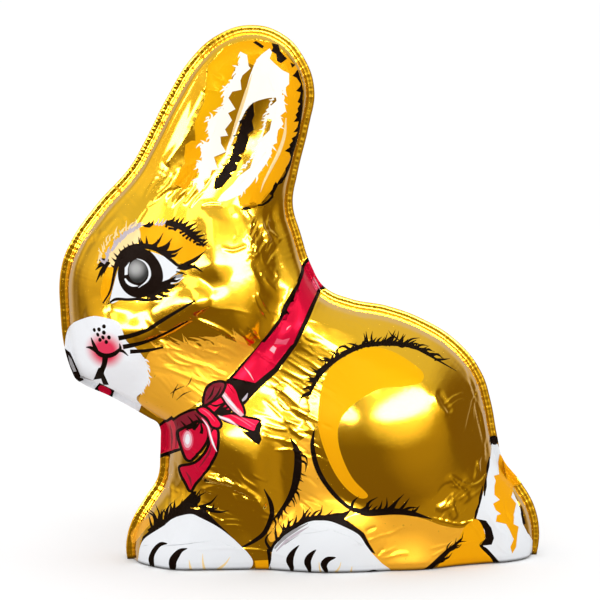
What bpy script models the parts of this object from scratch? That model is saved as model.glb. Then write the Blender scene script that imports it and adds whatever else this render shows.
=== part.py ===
"""A hollow moulded chocolate bunny in its printed foil, sitting up and facing -X.

The figure is pressed in two half moulds that meet in the plane y = 0. The foil follows both
reliefs and is crimped into a thin fin round the outline, and it is folded flat under the base.
Lengths in this file are in millimetres, as (x, z) on the parting plane and y for the relief.
Everything is scaled to metres when the mesh is made. The origin is under the middle of the
figure, on the ground.
"""

import math

import bmesh
import bpy
import numpy as np
from mathutils import Vector
from mathutils.geometry import delaunay_2d_cdt

NAME = "bunny"
METRE = 0.001

# The crimped fin of foil round the outline
FIN_WIDTH = 1.9
FIN_THICKNESS = 0.8

# The relief mesh: rows close to the fin follow the rim, and a triangular lattice fills the rest
RIM_STEP = 2.6
ROWS_FROM_RIM = (0.45, 1.5, 3.2, 5.5)
LATTICE = 2.65
CURVE_STEPS = 16
# A row keeps only the points that are this share of its distance from every stretch of the rim
ROW_CLEARANCE = 0.93
# The lattice starts this share of its step past the last row
LATTICE_CLEARANCE = 0.55

# Half the figure's depth where it is fullest, from ear to base, as (height, half depth)
DEPTH_BY_HEIGHT = (
    (0.0, 18.0),
    (30.0, 18.5),
    (54.0, 17.0),
    (74.0, 18.5),
    (90.0, 16.0),
    (110.0, 9.0),
    (150.0, 7.5),
)
# The depth at a height is the mean over these offsets from it, so that it changes smoothly
HEIGHT_BLEND = (-8.0, -4.0, 0.0, 4.0, 8.0)
# The depth falls away behind the haunch, to the narrow tail
RUMP_X = (34.0, 62.0)
RUMP_SHARE = 0.72
# How far in from the rim the figure reaches that depth: a base part and a share of the depth
ROUNDING = 2.5
ROUNDING_SHARE = 0.6
PROFILE_POWER = 0.52
# The foil turns under the base over this height
BASE_ROUND = 1.5
# The two halves are welded at the parting plane within this distance, in metres
WELD = 0.00001
# Edges that turn more than this stay sharp, in degrees
SHARP_EDGE = 40.0

# The outline, clockwise from the foot of the chest, as seen from the figure's left side
CHEST = ((-49.0, 0.0), (-49.3, 4.0), (-47.8, 10.5), (-43.5, 18.0), (-40.4, 23.0), (-39.6, 30.0))
THROAT = (-39.5, 38.2)
JAW = ((-54.0, 46.5), (-60.8, 49.6))
CHIN = (-63.6, 51.6)
FACE = (
    (-66.0, 59.0),
    (-67.3, 70.0),
    (-67.1, 82.0),
    (-64.6, 89.2),
    (-57.2, 100.0),
    (-47.6, 110.8),
)
EAR = (
    (-44.0, 117.0),
    (-37.0, 130.6),
    (-30.4, 141.0),
    (-23.0, 147.4),
    (-14.0, 150.0),
    (-5.4, 147.6),
    (0.6, 141.2),
    (3.7, 132.0),
    (2.2, 122.0),
    (-1.0, 108.6),
    (-2.3, 100.0),
)
BACK = (
    (-0.2, 92.0),
    (3.0, 82.4),
    (6.6, 76.6),
    (14.0, 73.2),
    (24.0, 71.2),
    (34.5, 67.2),
    (44.0, 60.9),
    (50.8, 52.2),
    (53.5, 44.0),
    (55.4, 34.0),
)
TAIL = (
    (57.0, 27.6),
    (62.0, 21.0),
    (66.2, 13.4),
    (67.5, 5.0),
    (66.8, 0.0),
)

# Domes and hollows on the relief: centre, half sizes, lean from upright in degrees, and rise
LOIN = ((12.0, 20.0), (42.0, 44.0), 0.0, 5.5)
HAUNCH = ((24.0, 41.0), (24.5, 24.5), 0.0, 6.5)
SHOULDER = ((-18.0, 31.0), (20.0, 21.0), 12.0, 3.6)
CHEEK = ((-21.0, 79.0), (23.0, 19.0), -25.0, 5.5)
BROW = ((-44.5, 84.0), (18.0, 20.0), 20.0, 2.8)
MUZZLE = ((-55.0, 60.5), (14.0, 13.0), 0.0, 4.6)
FRONT_PAW = ((-31.0, 6.0), (17.5, 13.5), 0.0, 2.6)
HIND_PAW = ((6.5, 7.0), (18.0, 14.0), 0.0, 4.8)
TAIL_TUFT = ((59.0, 12.0), (9.0, 14.0), -20.0, 1.8)
EAR_HOLLOW = ((-16.5, 122.0), (9.0, 26.0), 21.0, -3.2)
NECK_FOLD = ((-9.5, 67.5), (6.5, 28.0), 33.0, -2.4)
LEG_FOLD = ((-6.5, 24.0), (7.0, 24.0), -8.0, -2.6)
# How softly a dome meets what is round it: 1 leaves a crease, 2 runs out smoothly
DOME_EDGE = 1.25
HOLLOW_EDGE = 2.0
FEATURES = (
    LOIN,
    HAUNCH,
    SHOULDER,
    CHEEK,
    BROW,
    MUZZLE,
    FRONT_PAW,
    HIND_PAW,
    TAIL_TUFT,
    EAR_HOLLOW,
    NECK_FOLD,
    LEG_FOLD,
)


def clear_scene():
    """Start from an empty scene."""
    for obj in list(bpy.data.objects):
        bpy.data.objects.remove(obj, do_unlink=True)


def outline_curve():
    """The outline as a smooth open curve through its points, with corners at throat and chin."""
    knots = (*CHEST, THROAT, *JAW, CHIN, *FACE, *EAR, *BACK, *TAIL)
    curve = bpy.data.curves.new("outline", "CURVE")
    curve.dimensions = "3D"
    curve.resolution_u = CURVE_STEPS
    spline = curve.splines.new("BEZIER")
    spline.bezier_points.add(len(knots) - 1)
    for point, (x, z) in zip(spline.bezier_points, knots):
        point.co = (x, 0.0, z)
        kind = "VECTOR" if (x, z) in (THROAT, CHIN) else "AUTO"
        point.handle_left_type = kind
        point.handle_right_type = kind
    return curve


def points_of(curve):
    """The points along the curve, as an array of (x, z)."""
    guide = bpy.data.objects.new("outline_guide", curve)
    bpy.context.scene.collection.objects.link(guide)
    graph = bpy.context.evaluated_depsgraph_get()
    mesh = bpy.data.meshes.new_from_object(guide.evaluated_get(graph))
    points = np.array([(v.co.x, v.co.z) for v in mesh.vertices])
    bpy.data.meshes.remove(mesh)
    bpy.data.objects.remove(guide, do_unlink=True)
    bpy.data.curves.remove(curve)
    return points


def spaced(points, step):
    """The same open line with its points evenly spaced, about one step apart."""
    along = np.concatenate(([0.0], np.cumsum(np.linalg.norm(np.diff(points, axis=0), axis=1))))
    places = np.linspace(0.0, along[-1], round(along[-1] / step) + 1)
    return np.stack([np.interp(places, along, points[:, axis]) for axis in (0, 1)], axis=1)


def moved_in(line, distance):
    """The open line moved to its inner side, with its two ends kept on the ground."""
    ahead = np.gradient(line, axis=0)
    ahead /= np.linalg.norm(ahead, axis=1, keepdims=True)
    inward = np.stack([ahead[:, 1], -ahead[:, 0]], axis=1)
    moved = line + distance * inward
    moved[[0, -1], 1] = 0.0
    return moved


def distance_to(line, points):
    """Each point's distance to the nearest place on the open line."""
    start, way = line[:-1], np.diff(line, axis=0)
    offset = points[:, None, :] - start[None, :, :]
    share = np.clip((offset * way).sum(-1) / (way * way).sum(-1), 0.0, 1.0)
    return np.linalg.norm(offset - share[..., None] * way, axis=-1).min(axis=1)


def feature_rise(points, feature):
    """What a dome adds to the relief, or a hollow takes from it."""
    centre, half_sizes, lean, rise = feature
    turn = math.radians(lean)
    offset = points - np.array(centre)
    across = offset[:, 0] * math.cos(turn) - offset[:, 1] * math.sin(turn)
    up = offset[:, 0] * math.sin(turn) + offset[:, 1] * math.cos(turn)
    spread = (across / half_sizes[0]) ** 2 + (up / half_sizes[1]) ** 2
    edge = DOME_EDGE if rise > 0.0 else HOLLOW_EDGE
    return rise * np.clip(1.0 - spread, 0.0, None) ** edge


def smooth_step(values, low, high):
    """Rises smoothly from 0 at low to 1 at high."""
    share = np.clip((values - low) / (high - low), 0.0, 1.0)
    return share * share * (3.0 - 2.0 * share)


def half_depth(points, rim):
    """How far the foil stands out from the parting plane at each (x, z)."""
    heights, depths = zip(*DEPTH_BY_HEIGHT)
    levels = [np.interp(points[:, 1] + shift, heights, depths) for shift in HEIGHT_BLEND]
    depth = np.mean(levels, axis=0)
    depth *= 1.0 - (1.0 - RUMP_SHARE) * smooth_step(points[:, 0], *RUMP_X)
    rounding = ROUNDING + ROUNDING_SHARE * depth
    from_rim = distance_to(rim, points)
    inside = np.clip(from_rim / rounding, 0.0, 1.0)
    swell = (1.0 - (1.0 - inside) ** 2) ** PROFILE_POWER
    relief = sum(feature_rise(points, feature) for feature in FEATURES)
    relief *= smooth_step(from_rim, 0.0, rounding)
    tuck = np.clip(1.0 - points[:, 1] / BASE_ROUND, 0.0, 1.0)
    tucked = BASE_ROUND * (1.0 - np.sqrt(1.0 - tuck * tuck)) * inside**0.5
    return FIN_THICKNESS / 2 + depth * swell + relief - tucked


def base_row(rim):
    """Points along the ground between the rim's two ends, closer together near the ends."""
    left, right = rim[0, 0], rim[-1, 0]
    near_left = [left + row for row in ROWS_FROM_RIM]
    near_right = [right - row for row in ROWS_FROM_RIM]
    count = round((near_right[-1] - near_left[-1]) / LATTICE)
    middle = np.linspace(near_left[-1], near_right[-1], count + 1)[1:-1]
    return [(x, 0.0) for x in (*near_left, *middle, *reversed(near_right))]


def inner_points(rim):
    """Rows that follow the rim, and a triangular lattice in the space they leave."""
    found = []
    for row in ROWS_FROM_RIM:
        line = moved_in(rim, row)
        clear = distance_to(rim, line) > ROW_CLEARANCE * row
        found.append(line[clear & (line[:, 1] > BASE_ROUND / 2.0)])
    low, high = rim.min(axis=0), rim.max(axis=0)
    height = LATTICE * math.sqrt(3.0) / 2.0
    for number in range(int((high[1] - low[1]) / height)):
        z = BASE_ROUND + number * height
        xs = np.arange(low[0] + (number % 2) * LATTICE / 2.0, high[0], LATTICE)
        found.append(np.stack([xs, np.full_like(xs, z)], axis=1))
    points = np.concatenate(found)
    from_rim = distance_to(rim, points)
    rows = len(ROWS_FROM_RIM)
    in_rows = np.arange(len(points)) < sum(len(part) for part in found[:rows])
    return points[in_rows | (from_rim > ROWS_FROM_RIM[-1] + LATTICE_CLEARANCE * LATTICE)]


def flat_relief(rim):
    """The relief's triangles on the parting plane: its points, its faces and the size of its border."""
    border = [tuple(p) for p in rim] + list(reversed(base_row(rim)))
    inner = inner_points(rim)
    count = len(border)
    points = [Vector(p) for p in border] + [Vector(p) for p in inner]
    edges = [(i, (i + 1) % count) for i in range(count)]
    placed, _, faces, *_ = delaunay_2d_cdt(points, edges, [], 1, 1e-5)
    return np.array([tuple(p) for p in placed]), faces, count


def half_figure():
    """The relief of one side with its half of the fin and of the base, open on the parting plane."""
    outline = spaced(points_of(outline_curve()), RIM_STEP)
    rim = moved_in(outline, FIN_WIDTH)
    flat, faces, border = flat_relief(rim)
    depth = half_depth(flat, rim)
    fin = FIN_THICKNESS / 2
    depth[: len(rim)] = fin
    mesh = bmesh.new()
    relief = [mesh.verts.new((x, -y, z)) for (x, z), y in zip(flat, depth)]
    for face in faces:
        mesh.faces.new([relief[i] for i in face])
    edge = [mesh.verts.new((x, -fin, z)) for x, z in outline]
    seam = [mesh.verts.new((x, 0.0, z)) for x, z in outline]
    for i in range(len(outline) - 1):
        mesh.faces.new((relief[i], relief[i + 1], edge[i + 1], edge[i]))
        mesh.faces.new((edge[i], edge[i + 1], seam[i + 1], seam[i]))
    ground = relief[len(rim) - 1 : border] + [relief[0]]
    mesh.faces.new((*ground, edge[0], seam[0], seam[-1], edge[-1]))
    bmesh.ops.recalc_face_normals(mesh, faces=mesh.faces)
    bmesh.ops.scale(mesh, vec=(METRE, METRE, METRE), verts=mesh.verts)
    return mesh


def gold_foil():
    """Bright gold-lacquered aluminium foil."""
    material = bpy.data.materials.new("gold_foil")
    material.use_nodes = True
    shader = material.node_tree.nodes["Principled BSDF"]
    shader.inputs["Base Color"].default_value = (0.83, 0.47, 0.03, 1.0)
    shader.inputs["Metallic"].default_value = 1.0
    shader.inputs["Roughness"].default_value = 0.2
    return material


def build_bunny(collection):
    """One half figure and its mirror image, welded into a closed solid."""
    half = half_figure()
    mesh = bpy.data.meshes.new(NAME)
    half.to_mesh(mesh)
    half.free()
    mesh.materials.append(gold_foil())
    bunny = bpy.data.objects.new(NAME, mesh)
    collection.objects.link(bunny)
    mirror = bunny.modifiers.new("other_half", "MIRROR")
    mirror.use_axis = (False, True, False)
    mirror.merge_threshold = WELD
    mesh.shade_smooth()
    mesh.set_sharp_from_angle(angle=math.radians(SHARP_EDGE))
    return bunny


def main():
    clear_scene()
    collection = bpy.data.collections.new(NAME)
    bpy.context.scene.collection.children.link(collection)
    build_bunny(collection)


main()
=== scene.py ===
# %% [markdown]
# # A chocolate bunny in printed gold foil
#
# The real thing is a hollow chocolate figure, cast in two halves. A printed sheet of gold foil is
# pressed over each half, and the two sheets are crimped together in a thin fin round the outline.
# What we see is all foil, so the script does what the wrapping machine does. It takes the packed
# figure as a mould, prints a flat sheet, presses it on the mould, wrinkles it and crimps its edge.
# Everything is in metres in the mesh, and in millimetres in the script, with +Z up.

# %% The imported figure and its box
import math
import time

import bmesh
import bpy
import numpy as np
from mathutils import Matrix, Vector
from mathutils.bvhtree import BVHTree
from mathutils.geometry import delaunay_2d_cdt
from mathutils.kdtree import KDTree


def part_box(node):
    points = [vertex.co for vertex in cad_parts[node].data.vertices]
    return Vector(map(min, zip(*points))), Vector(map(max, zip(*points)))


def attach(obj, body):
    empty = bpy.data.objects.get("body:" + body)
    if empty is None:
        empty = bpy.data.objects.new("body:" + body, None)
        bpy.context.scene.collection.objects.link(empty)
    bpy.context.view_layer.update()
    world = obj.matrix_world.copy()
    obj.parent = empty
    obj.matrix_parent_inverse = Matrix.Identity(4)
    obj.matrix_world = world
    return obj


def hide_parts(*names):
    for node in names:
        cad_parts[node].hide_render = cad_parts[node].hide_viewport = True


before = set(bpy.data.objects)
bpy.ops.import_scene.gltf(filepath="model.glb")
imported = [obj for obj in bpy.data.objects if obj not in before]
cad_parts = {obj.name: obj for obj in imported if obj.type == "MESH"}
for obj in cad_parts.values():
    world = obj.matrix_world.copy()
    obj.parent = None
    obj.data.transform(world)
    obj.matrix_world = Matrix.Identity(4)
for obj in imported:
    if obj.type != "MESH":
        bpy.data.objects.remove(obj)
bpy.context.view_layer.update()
low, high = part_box("bunny")
MM = 0.001
started = time.time()
print("figure", [round(side / MM, 1) for side in high - low], "mm")

# %% [markdown]
# ## The camera
#
# The picture was taken from the figure's left, a little from above and a little from the front, from
# far enough away that the base hardly curves. The camera is made first, because the print is thrown
# on the figure from this point, as a slide projector would.

# %% Camera
DISTANCE = 1200.0
ELEVATION = math.radians(7.0)
TOWARDS_FACE = math.radians(3.5)
MM_A_PIXEL = 0.28
PICTURE = 600.0
AIM = np.array([-0.3, 0.0, 73.0])
SENSOR = 36.0

forward = np.array([
    math.sin(TOWARDS_FACE) * math.cos(ELEVATION),
    math.cos(TOWARDS_FACE) * math.cos(ELEVATION),
    -math.sin(ELEVATION),
])
right = np.array([math.cos(TOWARDS_FACE), -math.sin(TOWARDS_FACE), 0.0])
up = np.cross(right, forward)
eye_point = AIM - DISTANCE * forward

bpy.ops.object.select_all(action="DESELECT")
bpy.ops.object.camera_add(location=eye_point * MM)
camera = bpy.context.active_object
camera.name = "camera"
camera.rotation_euler = Vector(forward).to_track_quat("-Z", "Y").to_euler()
camera.data.sensor_width = SENSOR
camera.data.lens = SENSOR * DISTANCE / (PICTURE * MM_A_PIXEL)
camera.data.clip_end = 20.0
bpy.context.scene.camera = camera
print("lens", round(camera.data.lens, 1), "mm")

# %% [markdown]
# ## The mould
#
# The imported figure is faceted, and gold foil shows every facet. A copy is welded, rebuilt with even
# small faces by a voxel Remesh, and relaxed by a Smooth modifier until the facets are gone. The copy
# is only a mould to press the foil on, and it is thrown away later.

# %% Mould
VOXEL = 0.5
RELAX_STEPS = 20
WELD = 0.01


def only(piece):
    """Make this the one selected and active object."""
    bpy.ops.object.select_all(action="DESELECT")
    piece.select_set(True)
    bpy.context.view_layer.objects.active = piece


def in_edit_mode(piece):
    only(piece)
    bpy.ops.object.mode_set(mode="EDIT")
    bpy.ops.mesh.select_all(action="SELECT")


only(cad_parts["bunny"])
bpy.ops.object.duplicate()
mould = bpy.context.active_object
mould.name = "mould"
in_edit_mode(mould)
bpy.ops.mesh.remove_doubles(threshold=WELD * MM)
bpy.ops.object.mode_set(mode="OBJECT")
print("mould", len(mould.data.vertices), "points")

# %% [markdown]
# ## The seam
#
# The outline of the figure is the edge of its fin. It is read off the mould before the smoothing: the
# fin's edge is where a point of the near half has a twin straight across, on the far half. They are
# walked from the chest over the ears to the tail, and a smooth line through them is the foil's edge.

# %% Seam line
SEAM_STEP = 0.36
SAME_PLACE = 0.01
CURVE_STEPS = 12


def smooth_line(points, step, closed=False):
    """A smooth line through the points, with a point about every step."""
    p = np.asarray(points, float)
    if closed:
        p = np.vstack([p[-1:], p, p[:2]])
    else:
        p = np.vstack([2.0 * p[0] - p[1], p, 2.0 * p[-1] - p[-2]])
    share = np.linspace(0.0, 1.0, CURVE_STEPS, endpoint=False)[:, None]
    found = []
    for a, b, c, d in zip(p, p[1:], p[2:], p[3:]):
        slope, bend, twist = c - a, 2.0 * a - 5.0 * b + 4.0 * c - d, 3.0 * (b - c) + d - a
        found.append(b + 0.5 * share * (slope + share * (bend + share * twist)))
    line = np.vstack([*found, p[-2:-1]])
    along = lengths_along(line)
    count = max(3, round(along[-1] / step) + 1)
    places = np.linspace(0.0, along[-1], count)
    line = np.stack([np.interp(places, along, line[:, axis]) for axis in (0, 1)], axis=1)
    return line[:-1] if closed else line


def lengths_along(line):
    steps = np.linalg.norm(np.diff(line, axis=0), axis=1)
    return np.concatenate(([0.0], np.cumsum(steps)))


def seam_of(mesh):
    """The points (x, z) along the fin's edge, from the chest to the tail."""
    places = [vertex.co / MM for vertex in mesh.vertices]
    edges = [tuple(edge.vertices) for edge in mesh.edges]
    rim = set()
    for a, b in edges:
        if math.dist(places[a].xz, places[b].xz) < SAME_PLACE:
            rim.add(a if places[a].y < places[b].y else b)
    ways = {index: [] for index in rim}
    for a, b in edges:
        if a in rim and b in rim and max(places[a].z, places[b].z) > SAME_PLACE:
            ways[a].append(b)
            ways[b].append(a)
    walked = [min((i for i in rim if len(ways[i]) == 1), key=lambda i: places[i].x)]
    while True:
        ahead = [index for index in ways[walked[-1]] if index not in walked[-2:]]
        if not ahead:
            return np.array([tuple(places[index].xz) for index in walked])
        walked.append(ahead[0])


seam = smooth_line(seam_of(mould.data), SEAM_STEP)
print("seam", round(lengths_along(seam)[-1], 1), "mm long,", len(seam), "points")

# %% Smoothing the mould
remesh = mould.modifiers.new("even_faces", "REMESH")
remesh.mode = "VOXEL"
remesh.voxel_size = VOXEL * MM
relax = mould.modifiers.new("relax", "SMOOTH")
relax.factor = 0.5
relax.iterations = RELAX_STEPS
only(mould)
for name in ("even_faces", "relax"):
    bpy.ops.object.modifier_apply(modifier=name)
mould_points = np.empty(len(mould.data.vertices) * 3)
mould.data.vertices.foreach_get("co", mould_points)
mould_points = mould_points.reshape(-1, 3) / MM
mould_tree = BVHTree.FromPolygons(
    mould_points.tolist(), [tuple(face.vertices) for face in mould.data.polygons]
)
print("smooth mould", len(mould.data.polygons), "faces", round(time.time() - started, 1), "s")

# %% [markdown]
# ## From the picture to the sheet
#
# The print's shapes were measured in the picture, in pixels of a 600 x 600 frame. A ray from the
# camera through a pixel meets the mould at the place where that ink lies, and its x and z are the
# place on the flat sheet. Where a ray passes the mould it meets the fin, in the middle plane.

# %% Picture points on the figure
FAR_AWAY = 200.0


def on_figure(points):
    """Where rays through these picture points meet the near half, as (x, z) in millimetres."""
    found = []
    start = Vector(eye_point)
    for u, v in points:
        way = forward * DISTANCE
        way = way + right * (u - PICTURE / 2.0) * MM_A_PIXEL + up * (PICTURE / 2.0 - v) * MM_A_PIXEL
        hit = mould_tree.ray_cast(start, Vector(way).normalized())[0]
        if hit is None or hit.y > 0.0:
            hit = eye_point - way * eye_point[1] / way[1]
        found.append((hit[0], hit[2]))
    return np.array(found)


NOSE_TIP, TOP_OF_HAUNCH = (107.7, 346.0), (402.0, 405.0)
print("nose and haunch at", on_figure([NOSE_TIP, TOP_OF_HAUNCH]).round(1).tolist())

# %% [markdown]
# ## Drawing tools
#
# A printer's artwork is made of closed shapes, one ink over another. A few helpers draw them: a shape
# with a straight, a smooth or a round edge, a stroke that tapers, and a row of hairs along a line.
# Each adds its outline to a list, in the order that the inks are laid down. Places are written as
# flat lists of x and y, in pairs, because that is how one reads them off a picture. Most shapes stand
# in tables: each row names its tool, its ink, its places and its widths, all in pixels, and the rows
# are drawn from top to bottom.

# %% Shapes and strokes
artwork = []


def at(*numbers):
    """Picture points from a flat list of x, y, x, y and so on."""
    return np.reshape(numbers, (-1, 2))


def lines_of(count, *numbers):
    """Several short lines of this many points each, from one flat list."""
    return np.reshape(numbers, (-1, count, 2))


def lay(ink, outline):
    """Add a closed shape, in picture points, on top of what is there."""
    artwork.append((ink, np.asarray(outline, float)))


def blob(ink, points, step=2.0):
    """A shape with a smooth edge through the points."""
    lay(ink, smooth_line(points, step, closed=True))


def disc(ink, centre, radii, count):
    turn = np.linspace(0.0, math.tau, count, endpoint=False)
    lay(ink, np.array(centre) + np.stack([np.cos(turn), np.sin(turn)], axis=1) * radii)


def stroke(ink, points, widths, step=2.0):
    """A pen line through the points, as wide as given at each of them."""
    points = np.asarray(points, float)
    knots = lengths_along(points)
    line = smooth_line(points, step)
    along = lengths_along(line)
    half = np.interp(along / along[-1], knots / knots[-1], widths) / 2.0
    ahead = np.gradient(line, axis=0)
    ahead /= np.linalg.norm(ahead, axis=1, keepdims=True) + 1e-9
    side = np.stack([-ahead[:, 1], ahead[:, 0]], axis=1) * half[:, None]
    lay(ink, np.vstack([line + side, (line - side)[::-1]]))


def draw(shapes):
    """Draw a list of shapes, each given as its tool and what that tool needs."""
    for tool, *how in shapes:
        tool(*how)


def bowed(root, tip, bow=(0, 0)):
    """Three points from root to tip, with the middle one moved aside by the bow."""
    return root, (np.asarray(root) + tip) / 2.0 + bow, tip


# %% Hairs
HAIR_GAPS, HAIR_LENGTHS = (0.6, 1.4), (0.5, 1.2)
HAIR_BEND, HAIR_STEP = 0.18, 1.6
ROOT_BELOW, MIDDLE_AT = 0.15, 0.45
MIDDLE_WIDTH, TIP_WIDTH = 0.7, 0.2
random = np.random.default_rng(7)


def hairs(ink, line, gap, length, lean, width, spread=0.3):
    """Tapering tufts along a line, leaning this many degrees from its direction, to its left."""
    line = smooth_line(line, 1.0)
    ahead = np.gradient(line, axis=0)
    place = random.uniform(0.0, gap * 0.5)
    while place < len(line) - 1:
        root = line[int(place)]
        way = math.atan2(*ahead[int(place)][::-1]) - math.radians(lean)
        way += random.normal(0.0, spread)
        long = length * random.uniform(*HAIR_LENGTHS)
        reach = np.array([math.cos(way), math.sin(way)]) * long
        aside = np.array([-reach[1], reach[0]]) * random.normal(0.0, HAIR_BEND)
        points = [root - reach * ROOT_BELOW, root + reach * MIDDLE_AT + aside, root + reach]
        stroke(ink, points, (width, width * MIDDLE_WIDTH, TIP_WIDTH), step=HAIR_STEP)
        place += gap * random.uniform(*HAIR_GAPS)


# %% [markdown]
# ## Amber fields
#
# Under the fur lines a thin amber ink dulls the foil on the throat, the chest, the flank and the hind
# foot. It is laid first, so that all the other inks lie over it.

# %% Amber fields
AMBER_FIELDS = (
    (blob, "amber", at(139,400, 147,380, 146,360, 152,350, 168,347, 190,346, 214,346, 238,343, 254,349,
        243,362, 226,378, 214,384, 204,391, 196,402, 180,412, 164,419, 150,412)),
    (blob, "amber", at(154,516, 158,518, 150,525, 141,535, 133,544, 131,534, 140,523)),
    (blob, "amber", at(297,446, 304,438, 312,436, 314,456, 320,475, 332,492, 346,505, 356,512, 342,518,
        318,516, 304,520, 290,528, 278,538, 270,542, 268,530, 278,518, 289,502, 297,484, 300,464)),
    (blob, "amber", at(346,520, 362,514, 384,514, 404,514, 424,519, 444,526, 462,528, 470,524, 458,542,
        449,551, 440,559, 428,568, 414,573, 396,574, 380,570, 366,552, 356,536)),
)
draw(AMBER_FIELDS)

THROAT_FRINGE = at(166,348, 190,347, 214,347, 238,344, 252,349)
hairs("amber", THROAT_FRINGE, 2.4, 20, 152, 3.6, 0.14)
THROAT_TICKS = lines_of(3, 170,393, 176,388.6, 184,385, 172,397, 174,390, 178,383, 176,399, 183,393,
    191,389.6, 186,385.6, 189.6,381, 192,375)
for tick in THROAT_TICKS:
    stroke("black", tick, (0.3, 1.3, 0.3))
print("amber:", len(artwork), "shapes so far")

# %% [markdown]
# ## The head's print
#
# The muzzle is a white patch that runs round the chin, with the nose, mouth, whisker roots and
# whiskers drawn over it. The eye is a white almond, a black disc, a grey pupil and white glints, with
# an orange lid over it and black lashes. Light fields come first and black lines last.

# %% Muzzle, nose and whiskers
MUZZLE_EDGE = at(64.3,349.6, 66.5,333.6, 72.3,323.8, 84,318.4, 96.4,316.2, 107,318.4, 118,322.5,
    121.4,330, 126,341, 135.7,348, 143,357, 147.3,368.4, 146.4,381, 142,391.6, 136.5,397.5, 141,405,
    139,411)
BEHIND_CHIN = at(130,424, 90,410, 58,388, 48,365, 50,350)
WHISKER_ROOTS = at(95.7,330, 101,329.6, 106,326.8, 98.7,334.7, 105.4,332.8, 103.6,337.5, 109.6,337.5,
    100,339.8, 106.3,342)
lay("muzzle", np.vstack([smooth_line(MUZZLE_EDGE, 2), BEHIND_CHIN]))
MUZZLE_FRINGE = at(143,358, 147,368, 146.4,381, 140,394)
hairs("muzzle", MUZZLE_FRINGE, 3, 6, 30, 2.6)
for root in WHISKER_ROOTS:
    disc("black", root, (1.8, 2.1), 12)
NOSE_AND_MOUTH = (
    (stroke, "black", at(91,337.6, 93.6,344, 97,351), (0.8, 3.2, 3.8)),
    (stroke, "black", at(86.2,347.2, 91,347.6, 97.5,351.4), (0.8, 3.4, 4)),
    (stroke, "black", at(94,348, 100,354, 107,355.8, 114,354, 120.4,349), (3, 4.6, 4.8, 4.4, 3.2)),
    (stroke, "black", at(119.5,352, 120.4,347.6, 119.4,343.4), (3, 2.8, 0.6)),
    (stroke, "black", at(117.5,350.5, 122.5,351, 128.2,355.8), (3.4, 3, 0.6)),
    (stroke, "black", at(105.6,354, 104.4,364, 100.6,373), (6, 5.2, 5.4)),
    (lay, "black", at(98.4,368, 104.4,366, 104,374, 109,384.6, 103.6,384.6, 101,378.6, 93.6,379.4)),
    (lay, "black", at(94.6,388.6, 99.6,382.6, 114.4,390.4, 112,398, 96,392)),
    (blob, "red", at(98,388.4, 101.6,385.2, 111,390.6, 108.6,395.4, 102,392.4)),
)
draw(NOSE_AND_MOUTH)
CHIN = (
    (lay, "black", at(64.2,348, 70.2,352.6, 75,363, 80.4,375.4, 84,380, 76,383, 64,372, 58,350)),
    (lay, "grey", at(68,354.5, 71.4,359, 76.6,371.5, 73.6,371.6, 69.8,364)),
    (stroke, "grey", at(80.5,376.5, 87,378.8, 94,380.4), (2.4, 1.2, 0.4)),
)
draw(CHIN)
WHISKERS = (
    (stroke, "black", at(118.2,338.4, 130,335.6, 143,330, 166,317.2, 195,300.6), (4.8, 4.6, 3.9, 3.2, 2)),
    (stroke, "black", at(122.9,347, 135,344.6, 147.5,340.7, 166,332.2, 187.6,321.4), (4.8, 4.4, 3.7, 3.2,
        2)),
    (stroke, "black", at(130,351.7, 146,350.6, 163.6,347.2), (4.2, 3.3, 1.8)),
)
draw(WHISKERS)
print("muzzle:", len(artwork), "shapes so far")

# %% Eye
EYELID_PAINT = (
    (blob, "orange", at(139,229, 146,226, 158,223.6, 166,223, 172,224.6, 180,228, 190,233.6, 199,240.6,
        207,247, 200,253.5, 192,259.5, 182,261.5, 168,252, 152,246, 139.5,246)),
    (blob, "orange", at(113.5,260, 107,268, 103,279, 100.4,292, 103.4,302, 109,298, 112,289.6,
        115.5,272)),
    (blob, "cream", at(105,264, 107.5,257, 113,248, 121,239.6, 129,233, 138.5,228, 140,240, 131,248,
        120,258, 111,267)),
)
draw(EYELID_PAINT)
EYE_WHITE = at(119,266, 114,283, 110.6,302.6, 122,299.5, 136.4,298.6, 147,296, 156,288.8, 168,277,
    180,266.6, 172,259.5, 160,253.5, 146,250.5, 130,252, 122,259)
EYE_CORNER = (
    (stroke, "grey", at(168,281, 175,276.5, 182,272.5), (2, 7, 1)),
    (stroke, "white", at(169,283.5, 176,279.5, 183.5,275.5), (1.5, 5.5, 0.6)),
)
draw(EYE_CORNER)
blob("white", EYE_WHITE)
PUPIL_AND_GLINTS = (
    (disc, "black", (139.6, 273.2), (22, 25.6), 48),
    (disc, "pupil", (138, 271), (9.8, 12.4), 32),
    (stroke, "white", at(136.8,258.2, 143.6,260.6, 148.4,266, 149.8,273, 146.8,281.4, 138.4,288.4), (0.4,
        1.4, 2.2, 2.3, 1.8, 0.5)),
    (lay, "white", at(124.4,275, 124.6,267.6, 129.6,261.6, 127.6,268.6, 127.4,274.4)),
    (stroke, "white", at(124.8,278.6, 127.6,283, 132.6,285.8, 138,286.4), (1.6, 2.8, 2.8, 0.6)),
)
draw(PUPIL_AND_GLINTS)
print("eye:", len(artwork), "shapes so far")

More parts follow.
